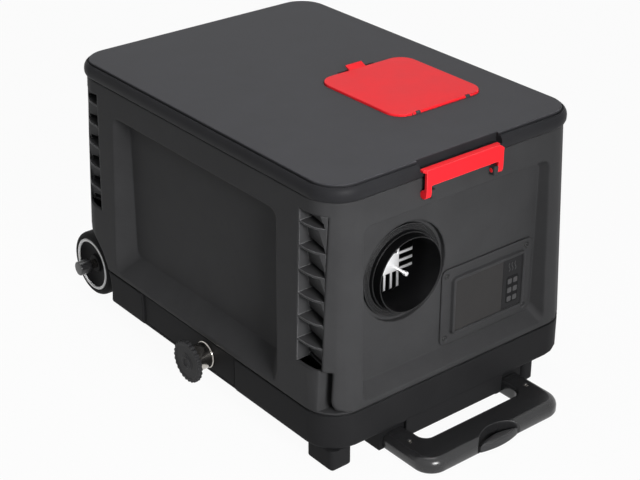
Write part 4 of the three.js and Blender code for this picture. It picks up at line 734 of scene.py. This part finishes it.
def filler_cover():
    plate = loft([ring("z", z, grown(COVER_X, -inset), grown(COVER_Y, -inset), COVER_CORNER - inset, steps=12)
                  for z, inset in COVER_LEVELS])
    outline = [(COVER_Y[1] + past, COVER_TOP + up) for past, up in TAB]
    tab = bevel(prism("x", outline, TAB_X), width=0.5, segments=2, angle=50)
    past_x = grown(COVER_X, OVERRUN)
    past_z = grown((COVER_BOTTOM, COVER_TOP), OVERRUN)
    before = COVER_Y[0] - OVERRUN
    edge = block(past_x, (before, COVER_AXIS[0]), past_z)
    barrel = rod("x", COVER_AXIS, COVER_BARREL, grown(COVER_X, -COVER_CORNER), sides=32)
    shape = join(cut(plate, edge), tab, barrel)
    gaps = [block(grown((start, start + EAR_WIDTH), EAR_GAP), (before, COVER_Y[0] + EAR_POCKET), past_z)
            for start in EAR_STARTS]
    shape = cut(shape, *gaps)
    return cut(shape, rod("x", COVER_AXIS, COVER_HOLE, past_x, sides=16))


piece(filler_cover(), "filler_cover_plate", "filler_cover", red, "red_plastic", "filler_cover", smooth=30)


# Latch
LATCH_FACE = -8
LATCH_BACK = -5
LATCH_PLATE = 16.1
LATCH_CHAMFER = (5.5, 3.6)
LATCH_ARM = 6
LATCH_EYE = 4.2
LATCH_PIN = 2.2
LATCH_PIN_OUTER = 3
LATCH_PIN_INNER = 5.3
LIP_END = 2.4
LIP_BACK = -1.2


def latch():
    """Plate with a lip that hooks over the lid's ledge, and two arms that end in inward pivots."""
    face, back, top = LATCH_FACE, LATCH_BACK, LATCH_TOP
    left, right = LATCH_CENTRE - LATCH_HALF, LATCH_CENTRE + LATCH_HALF
    low_edge = top - LATCH_PLATE
    arm_top = low_edge + 3
    chamfer_in, chamfer_down = LATCH_CHAMFER
    y, z = LATCH_PIVOT
    plate = [(left, low_edge), (left, top), (right - chamfer_in, top), (right, top - chamfer_down),
             (right, low_edge)]
    lip = [(left - LIP_END, face + LIP_END), (left, face + 0.3), (right - chamfer_in, face + 0.3),
           (right - 3, face + 3), (right - 3, LIP_BACK), (left - LIP_END, LIP_BACK)]
    arm_outline = [(face, arm_top), (face, z + 2.5), (face + 0.3, z), (face + 1.4, z - 2.6), (y - 1, z - 4),
                   (back + 0.3, z), (back, z + 3), (back, arm_top)]
    shape = prism("y", plate, (face, back))
    parts = [prism("z", lip, (top - LATCH_LIP, top - SLIVER))]
    for side in (-1, 1):
        outer = LATCH_CENTRE + side * LATCH_HALF
        inner = LATCH_CENTRE + side * (LATCH_HALF - LATCH_ARM)
        arm = sorted((outer, inner))
        pin = sorted((outer - side * LATCH_PIN_OUTER, inner - side * LATCH_PIN_INNER))
        parts.append(prism("x", arm_outline, arm))
        parts.append(rod("x", LATCH_PIVOT, LATCH_EYE, arm, sides=32))
        parts.append(rod("x", LATCH_PIVOT, LATCH_PIN, pin, sides=24))
    return bevel(join(shape, *parts), width=0.55, segments=2, angle=35)


piece(latch(), "latch_clip", "latch", red, "red_plastic", "latch", smooth=40)


# Hot-air outlet
DUCT_WALL = 1.5
DUCT_BACK = 62
COLLAR_GAP = 0.3
COLLAR_RIDGES = 3
RIDGE_PITCH = 1.9
ROUND_SIDES = 96


def outlet_tube():
    outer, inner = DUCT_RADIUS, DUCT_RADIUS - DUCT_WALL
    profile = [(inner, 0.9), (inner + 0.3, 0.25), (inner + 0.75, 0), (outer - 0.25, 0.2), (outer, 0.8),
               (outer, DUCT_BACK), (inner, DUCT_BACK)]
    return lathe("y", DUCT, profile, sides=ROUND_SIDES)


def outlet_flange():
    """Collar with a raised lip at the bore and low ridges around it."""
    bore = DUCT_RADIUS + COLLAR_GAP
    back, face = POCKET_FLOOR - 0.3, POCKET_FLOOR - 3
    ridge_foot = face + 0.4
    ridge_top = face - 0.2
    ridges_start = bore + 2.2
    profile = [(bore, face - 3), (bore + 0.5, face - 3.3), (bore + 1.2, face - 3.1), (bore + 1.5, face - 2.4),
               (bore + 1.8, face - 0.5), (ridges_start, ridge_foot)]
    for ridge in range(COLLAR_RIDGES):
        foot = ridges_start + ridge * RIDGE_PITCH
        profile += [(foot + 0.8, ridge_foot), (foot + 1.0, ridge_top), (foot + 1.7, ridge_top),
                    (foot + RIDGE_PITCH, ridge_foot)]
    profile += [(COLLAR_RADIUS - 0.5, face + 0.3), (COLLAR_RADIUS - 0.3, face),
                (COLLAR_RADIUS - 0.1, face + 0.2), (COLLAR_RADIUS, face + 0.7), (COLLAR_RADIUS, back),
                (bore, back)]
    return lathe("y", DUCT, profile, sides=ROUND_SIDES)


def exchanger():
    return bevel(node_copy("heat_exchanger"), width=0.35, segments=1, angle=40)


piece(outlet_tube(), "outlet_tube_ring", "case", outlet_black, "black_plastic", "outlet_tube")
piece(outlet_flange(), "outlet_collar", "case", outlet_black, "black_plastic", "outlet_flange")
piece(exchanger(), "exchanger_casting", "case", aluminium, "cast_aluminium", "heat_exchanger")


# Control panel
BEZEL_X = (-11.5, 108.5)
BEZEL_Z = (79, 161)
BEZEL_FACE = 7
BEZEL_BACK = 8.7
BEZEL_CORNER = 7
FRAME_X = (0, 95.8)
FRAME_Z = (90, 151.5)
FRAME_FACE = 2.4
FRAME_WALL = 3.2
FRAME_CORNER = 5
OPENING_CORNER = 1.5
OPENING_FLARE = 0.6
OPENING_FLOOR = 6.3
OPENING_RIM = 2
HOLE_BACK = 20
SCREWS = [(x, z) for z in (153.5, 86.5) for x in (-5.3, 100.3)]
SCREW_RADIUS = 2.3
SCREW_FACE = BEZEL_FACE + 0.95
PLATE_BACK = 6.0
PLATE_GAP = 0.3
PLATE_CORNER = 1.2
PLATE_EDGE = 0.3
PAD_EDGE = 0.1
PAD_INSET = 0.15
DISPLAY_X = (3.5, 66.3)
DISPLAY_FACE = 3.8
KEYPAD_X = (66.6, 92.3)
KEYPAD_FACE = 3.9
PATCH_X = (71.4, 87.8)
PATCH_Z = (98.8, 128.3)
KEY_COLUMNS = (73, 80.6)
KEY_ROWS = (100.5, 110.2, 119.9)
KEY_SIZE = 5.6
KEY_CORNER = 1.2
WAVES = (74.4, 78.4, 82.4)
WAVE_Z = (134, 143)
WAVE_FACE = 3.65
WAVE_SWING = 0.9
WAVE_HALF = 0.35
WAVE_DEPTH = 0.4
WAVE_STEPS = 16


def bezel():
    def level(y, inset, x=BEZEL_X, z=BEZEL_Z, corner=BEZEL_CORNER):
        return ring("y", y, grown(x, -inset), grown(z, -inset), corner - inset, steps=6)

    plate = loft([level(BEZEL_BACK, 0), level(BEZEL_FACE + 0.5, 0), level(BEZEL_FACE + 0.1, 0.15),
                  level(BEZEL_FACE, 0.5)])
    rim = loft([level(y, inset, FRAME_X, FRAME_Z, FRAME_CORNER) for y, inset in (
        (BEZEL_FACE + 0.8, -0.6), (BEZEL_FACE - 0.3, -0.4), (BEZEL_FACE - 0.8, 0), (FRAME_FACE + 1, 0.3),
        (FRAME_FACE + 0.3, 0.6), (FRAME_FACE, 1.3))])
    shape = join(plate, rim)
    opening = [grown(span, -FRAME_WALL) for span in (FRAME_X, FRAME_Z)]
    flared = [grown(span, OPENING_FLARE) for span in opening]
    wide_corner = OPENING_CORNER + OPENING_FLARE
    before = FRAME_FACE - OVERRUN
    recess = loft([ring("y", OPENING_FLOOR, *opening, OPENING_CORNER, steps=4),
                   ring("y", FRAME_FACE + OPENING_FLARE, *opening, OPENING_CORNER, steps=4),
                   ring("y", FRAME_FACE - SLIVER, *flared, wide_corner, steps=4),
                   ring("y", before, *flared, wide_corner, steps=4)])
    hole_x, hole_z = [grown(span, -OPENING_RIM) for span in opening]
    hole = block(hole_x, (before, HOLE_BACK), hole_z)
    seat = [(3.3, BEZEL_FACE - 1), (3.3, BEZEL_FACE), (3.0, BEZEL_FACE + 0.9), (0.3, BEZEL_FACE + 0.9)]
    seats = [lathe("y", centre, seat, sides=32, closed=False) for centre in SCREWS]
    return cut(shape, recess, hole, *seats)


def screw(axis, centre, at, out, radius):
    """Round screw head with a cross recess; out is the direction it faces along the axis."""
    rise = out * radius * 0.35
    profile = [(radius, at), (radius, at + rise * 0.5), (radius * 0.85, at + rise * 0.9),
               (radius * 0.5, at + rise)]
    head = lathe(axis, centre, profile, sides=24, closed=False)
    long, short = radius * 0.5, radius * 0.16
    depth = sorted((at + rise * 0.2, at + rise * 3))
    tools = []
    for u, v in ((long, short), (short, long)):
        outline = [(centre[0] - u, centre[1] - v), (centre[0] + u, centre[1] - v),
                   (centre[0] + u, centre[1] + v), (centre[0] - u, centre[1] + v)]
        tools.append(prism(axis, outline, depth))
    return cut(head, *tools)


def chamfered(x, z, levels, corner, steps):
    """Plate whose outline is inset by level; levels are (place along y, inset)."""
    return loft([ring("y", y, grown(x, -inset), grown(z, -inset), corner - inset, steps)
                 for y, inset in levels])


def panel_plate(x, face):
    z = grown(grown(FRAME_Z, -FRAME_WALL), -PLATE_GAP)
    levels = [(PLATE_BACK, 0), (face + PLATE_EDGE, 0), (face, PLATE_EDGE)]
    return chamfered(x, z, levels, PLATE_CORNER, steps=3)


def keypad_pad(x, z, back, face, corner):
    levels = [(back, 0), (face + PAD_EDGE, 0), (face, PAD_INSET)]
    return chamfered(x, z, levels, corner, steps=5)


def warm_air_wave(x, z, face):
    """Thin raised wavy rib."""
    points = []
    for step in range(WAVE_STEPS + 1):
        share = step / WAVE_STEPS
        points.append((x + WAVE_SWING * math.sin(share * 2 * math.pi), z[0] + share * (z[1] - z[0])))
    outline = [(u - WAVE_HALF, v) for u, v in points] + [(u + WAVE_HALF, v) for u, v in reversed(points)]
    return prism("y", outline, (face, face + WAVE_DEPTH))


piece(bezel(), "panel_bezel", "case", casing, "casing", "control_bezel")
for i, seat in enumerate(SCREWS):
    head = screw("y", seat, SCREW_FACE, out=-1, radius=SCREW_RADIUS)
    piece(head, f"panel_screw_{i + 1}", "case", black, "black_plastic")
piece(panel_plate(DISPLAY_X, DISPLAY_FACE), "panel_display", "case", display, "display", "display_window")
piece(panel_plate(KEYPAD_X, KEYPAD_FACE), "panel_keypad", "case", keypad, "black_plastic", "keypad")
patch = keypad_pad(PATCH_X, PATCH_Z, back=4.1, face=3.75, corner=3)
piece(patch, "keypad_patch", "case", matt_black, "black_plastic")
keys = [keypad_pad((x, x + KEY_SIZE), (z, z + KEY_SIZE), back=4.0, face=3.5, corner=KEY_CORNER)
        for x in KEY_COLUMNS for z in KEY_ROWS]
for i, key in enumerate(keys):
    piece(key, f"keypad_key_{i + 1}", "case", icon_paint, "black_plastic")
for i, x in enumerate(WAVES):
    wave = warm_air_wave(x, WAVE_Z, WAVE_FACE)
    piece(wave, f"keypad_wave_{i + 1}", "case", icon_paint, "black_plastic")


# Exhaust
STUB_BACK = -147.2
STUB_RING_FACE = -156.5
STUB_RING_WIDTH = 1.6
STUB_RING_RISE = 0.8
CAP_GAP = 0.3
CAP_THICKNESS = 5
CAP_RADIUS = 22
CAP_SCALLOPS = 26
SCALLOP_STEPS = 8
SCALLOP_DEPTH = 1.3
SCALLOP_SHAPE = 1.4
PLUG_RADIUS = 12
PLUG_REACH = 9


def stub():
    """Tube with a low ring around it."""
    bore, r, end = STUB_BORE, STUB_RADIUS, STUB_END
    ring_end = STUB_RING_FACE - STUB_RING_WIDTH
    proud = r + STUB_RING_RISE
    profile = [(bore, end + 0.3), (bore + 0.3, end), (r - 0.3, end), (r, end + 0.3),
               (r, ring_end), (r + 0.5, STUB_RING_FACE - 1.5), (proud, STUB_RING_FACE - 1.1),
               (proud, STUB_RING_FACE), (r, STUB_RING_FACE), (r, STUB_BACK), (bore, STUB_BACK)]
    return lathe("x", EXHAUST, profile, sides=64)


def cap():
    """Scalloped disc with a ring-shaped dish, a boss in its middle and a plug behind it."""
    back = STUB_END - CAP_GAP
    front = back - CAP_THICKNESS
    count = CAP_SCALLOPS * SCALLOP_STEPS

    def level(x, shrink):
        points = []
        for i in range(count):
            angle = 2 * math.pi * i / count
            wave = 0.5 + 0.5 * math.cos(CAP_SCALLOPS * angle)
            radius = CAP_RADIUS - SCALLOP_DEPTH * (1 - wave) ** SCALLOP_SHAPE - shrink
            points.append((x, EXHAUST[0] + radius * math.cos(angle), EXHAUST[1] + radius * math.sin(angle)))
        return points

    disc = loft([level(back, 0.5), level(back - 0.6, 0), level(front + 0.9, 0), level(front + 0.25, 0.3),
                 level(front, 1.1)])
    boss_profile = [(6.5, back - 2), (6.5, front - 0.5), (6.1, front - 0.85), (5.6, front - 0.9),
                    (4.6, front - 0.9), (4.2, front - 0.5), (4.1, front + 0.1), (0.4, front + 0.2)]
    boss = lathe("x", EXHAUST, boss_profile, sides=48, closed=False)
    plug = rod("x", EXHAUST, PLUG_RADIUS, (back - 2, back + PLUG_REACH), sides=48)
    dish_profile = [(18.2, front - 3), (18.2, front), (17.6, front + 0.6), (9.6, front + 0.6), (9, front),
                    (9, front - 3)]
    dish = lathe("x", EXHAUST, dish_profile, sides=64)
    return join(cut(disc, dish), boss, plug)


piece(stub(), "exhaust_stub_tube", "case", steel, "steel", "exhaust_stub")
piece(cap(), "exhaust_cap_disc", "exhaust_cap", knob_plastic, "black_plastic", "exhaust_cap")


# Wheels

# Points of the profiles are (radius, depth behind the wheel's outer face)
TYRE_BORE = 29.9
TYRE = [(TYRE_BORE, 0.9), (30.2, 0.3), (30.9, 0), (32.5, 0.1), (33.6, 0.6), (34.9, 1.7), (36.0, 3.6),
        (WHEEL_RADIUS, 6), (WHEEL_RADIUS, 18), (36.0, 20.4), (34.9, 22.3), (33.6, 23.4), (32, WHEEL_WIDTH),
        (TYRE_BORE, WHEEL_WIDTH)]
TRIM = [(26.5, 0.4), (26.8, 0.1), (27.2, 0), (28.9, 0), (29.3, 0.1), (29.6, 0.4), (29.6, 1.6), (26.5, 1.6)]
HUB = [(5.3, 4.5), (9.3, 4.2), (10, 5), (10.2, 6.4), (11.2, 7.2), (20, 6.2), (24.5, 4.6), (26, 2.6),
       (26.4, 1.9), (29.6, 1.9), (29.6, WHEEL_WIDTH), (26.2, WHEEL_WIDTH), (26.2, 7.6), (10, 11), (10, 20),
       (5.3, 20)]
AXLE_CAP = [(5.3, -3), (7.4, -3), (8, -3.6), (8, -16), (7.6, -16.7), (6.8, -17), (0.5, -17), (0.5, -10.3),
            (5.3, -10.3)]


def wheel_part(side, profile):
    points = [(radius, side * (WHEEL_FACE - depth)) for radius, depth in profile]
    return lathe("x", WHEEL, points, sides=72)


for side, sign in (("left", -1), ("right", 1)):
    wheel = f"wheel_{side}"
    piece(wheel_part(sign, TYRE), f"{wheel}_tyre", wheel, tyre_rubber, "tyre", f"tyre_{side}", smooth=40)
    piece(wheel_part(sign, TRIM), f"{wheel}_trim", wheel, white_trim, "white_trim", f"wheel_ring_{side}")
    piece(wheel_part(sign, HUB), f"{wheel}_hub", wheel, matt_black, "black_plastic", f"wheel_hub_{side}")
    piece(wheel_part(sign, AXLE_CAP), f"{wheel}_axle_cap", "case", black, "black_plastic", f"axle_cap_{side}")


# Handle
GRIP_HALF = 89.8
GRIP_ARM = 26
GRIP_Z = (1.5, 18.5)
GRIP_BACK = -2.3
GRIP_CORNER = 20
GAP_CORNER = 10
GRIP_PAST = GRIP_BACK + 20
GAP_PAST = GRIP_BACK + 40
BEHIND_GRIP = ((-100, 100), (GRIP_BACK, 60), (-10, 40))
BAR_BACK = -32
BAR_FRONT = -67
TUBE_MIDDLE = GRIP_HALF - GRIP_ARM / 2
TUBE_HALF = 9.8
TUBE_Y = (-26.6, 10)
TUBE_Z = (4.2, 15.8)
SCREW_Y = -26.5
SCREW_SUNK = 1.2
BUTTON_HALF = 24.5
BUTTON_BULGE = 4
BUTTON_BACK = 7
RECESS_HALF = BUTTON_HALF + 3.5
RECESS_BACK = 13
RECESS_FRONT = 6
RECESS_FLOOR = 3.6
LENS_STEPS = 24

# Levels of the thumb button are (height, inset of its outline)
BUTTON_LEVELS = [(4, 0.6), (4.6, 0.1), (5.2, 0), (10.2, 0), (11.6, 0.7), (12.5, 1.9), (13, 3.6)]


def lens_ring(z, half, back, front):
    """Plan of the thumb button or its recess: two shallow arcs between the same ends."""
    points = []
    for step in range(LENS_STEPS + 1):
        share = 2 * step / LENS_STEPS - 1
        points.append((share * half, BAR_FRONT - front * (1 - share * share), z))
    for step in range(1, LENS_STEPS):
        share = 1 - 2 * step / LENS_STEPS
        points.append((share * half, BAR_FRONT + back * (1 - share * share), z))
    return points


def grip():
    """Bar and two arms with round edges, cut for the tubes, the thumb button and the screws."""
    bottom, top = GRIP_Z

    def level(z, inset):
        width = (inset - GRIP_HALF, GRIP_HALF - inset)
        return ring("z", z, width, (BAR_FRONT + inset, GRIP_PAST), GRIP_CORNER - inset, steps=14)

    def gap_level(z, grow):
        inner = GRIP_HALF - GRIP_ARM + grow
        return ring("z", z, (-inner, inner), (BAR_BACK - grow, GAP_PAST), GAP_CORNER + grow, steps=10)

    outside = [(bottom, 5), (bottom + 0.5, 3.2), (bottom + 1.8, 1.3), (bottom + 4, 0), (top - 7.5, 0),
               (top - 5, 0.7), (top - 3, 1.9), (top - 1.4, 3.6), (top - 0.4, 5.6), (top, 8)]
    between = [(bottom - OVERRUN, 3), (bottom - SLIVER, 3), (bottom + 1, 1), (bottom + 3.2, 0), (top - 4, 0),
               (top - 1.5, 0.9), (top + SLIVER, 3.4), (top + OVERRUN, 3.4)]
    shape = loft([level(z, inset) for z, inset in outside])
    gap = loft([gap_level(z, grow) for z, grow in between])
    shape = cut(shape, gap, block(*BEHIND_GRIP))
    recess = loft([lens_ring(z, RECESS_HALF, RECESS_BACK, RECESS_FRONT)
                   for z in (RECESS_FLOOR, top + OVERRUN)])
    middles = [side * TUBE_MIDDLE for side in (-1, 1)]
    tubes = [block(grown((x, x), TUBE_HALF), TUBE_Y, TUBE_Z) for x in middles]
    seat = [(2.6, top - SCREW_SUNK), (2.6, top), (3.1, top + 0.5)]
    seats = [lathe("z", (x, SCREW_Y), seat, sides=24, closed=False) for x in middles]
    return bevel(cut(shape, recess, *tubes, *seats), width=0.4, segments=2, angle=50)


def button():
    return loft([lens_ring(z, BUTTON_HALF - 1.5 * inset, BUTTON_BACK - inset, BUTTON_BULGE - inset)
                 for z, inset in BUTTON_LEVELS])


piece(grip(), "handle_grip_bar", "handle", black, "black_plastic", "handle_grip", smooth=40)
for side, name in ((-1, "left"), (1, "right")):
    seat = (side * TUBE_MIDDLE, SCREW_Y)
    head = screw("z", seat, GRIP_Z[1] - SCREW_SUNK, out=1, radius=SCREW_RADIUS)
    piece(head, f"handle_screw_{name}", "handle", steel, "steel")
piece(button(), "handle_button_key", "handle_button", button_gray, "black_plastic", "handle_button",
      smooth=40)


# Finishes of the CAD nodes that stay
stay = {
    "exhaust_pipe": steel, "combustion_air_pipe": hose, "heater_case_lower": matt_black,
    "heater_case_upper": matt_black, "heater_bracket": steel, "burner_tube": steel, "glow_plug": steel,
    "blower_motor": matt_black, "fan_shaft": steel, "combustion_impeller": matt_black,
    "intake_fan": matt_black, "intake_duct": matt_black, "rear_grille": matt_black,
    "power_inlet": black, "fuel_tank": tank_plastic,
    "tank_cap": matt_black, "fuel_pump": pump_metal, "fuel_line_suction": hose, "fuel_line_feed": hose,
    "control_board": board, "lid_seal": seal_rubber, "lid_hinge_pin": steel, "filler_cover_pin": steel,
    "wheel_axle": steel, "handle_tube_left": steel, "handle_tube_right": steel,
}
for node, finish in stay.items():
    made = frame["nodes"][node]
    if not made.material_slots:
        made.data.materials.append(finish)
    for holder in made.material_slots:
        holder.material = finish
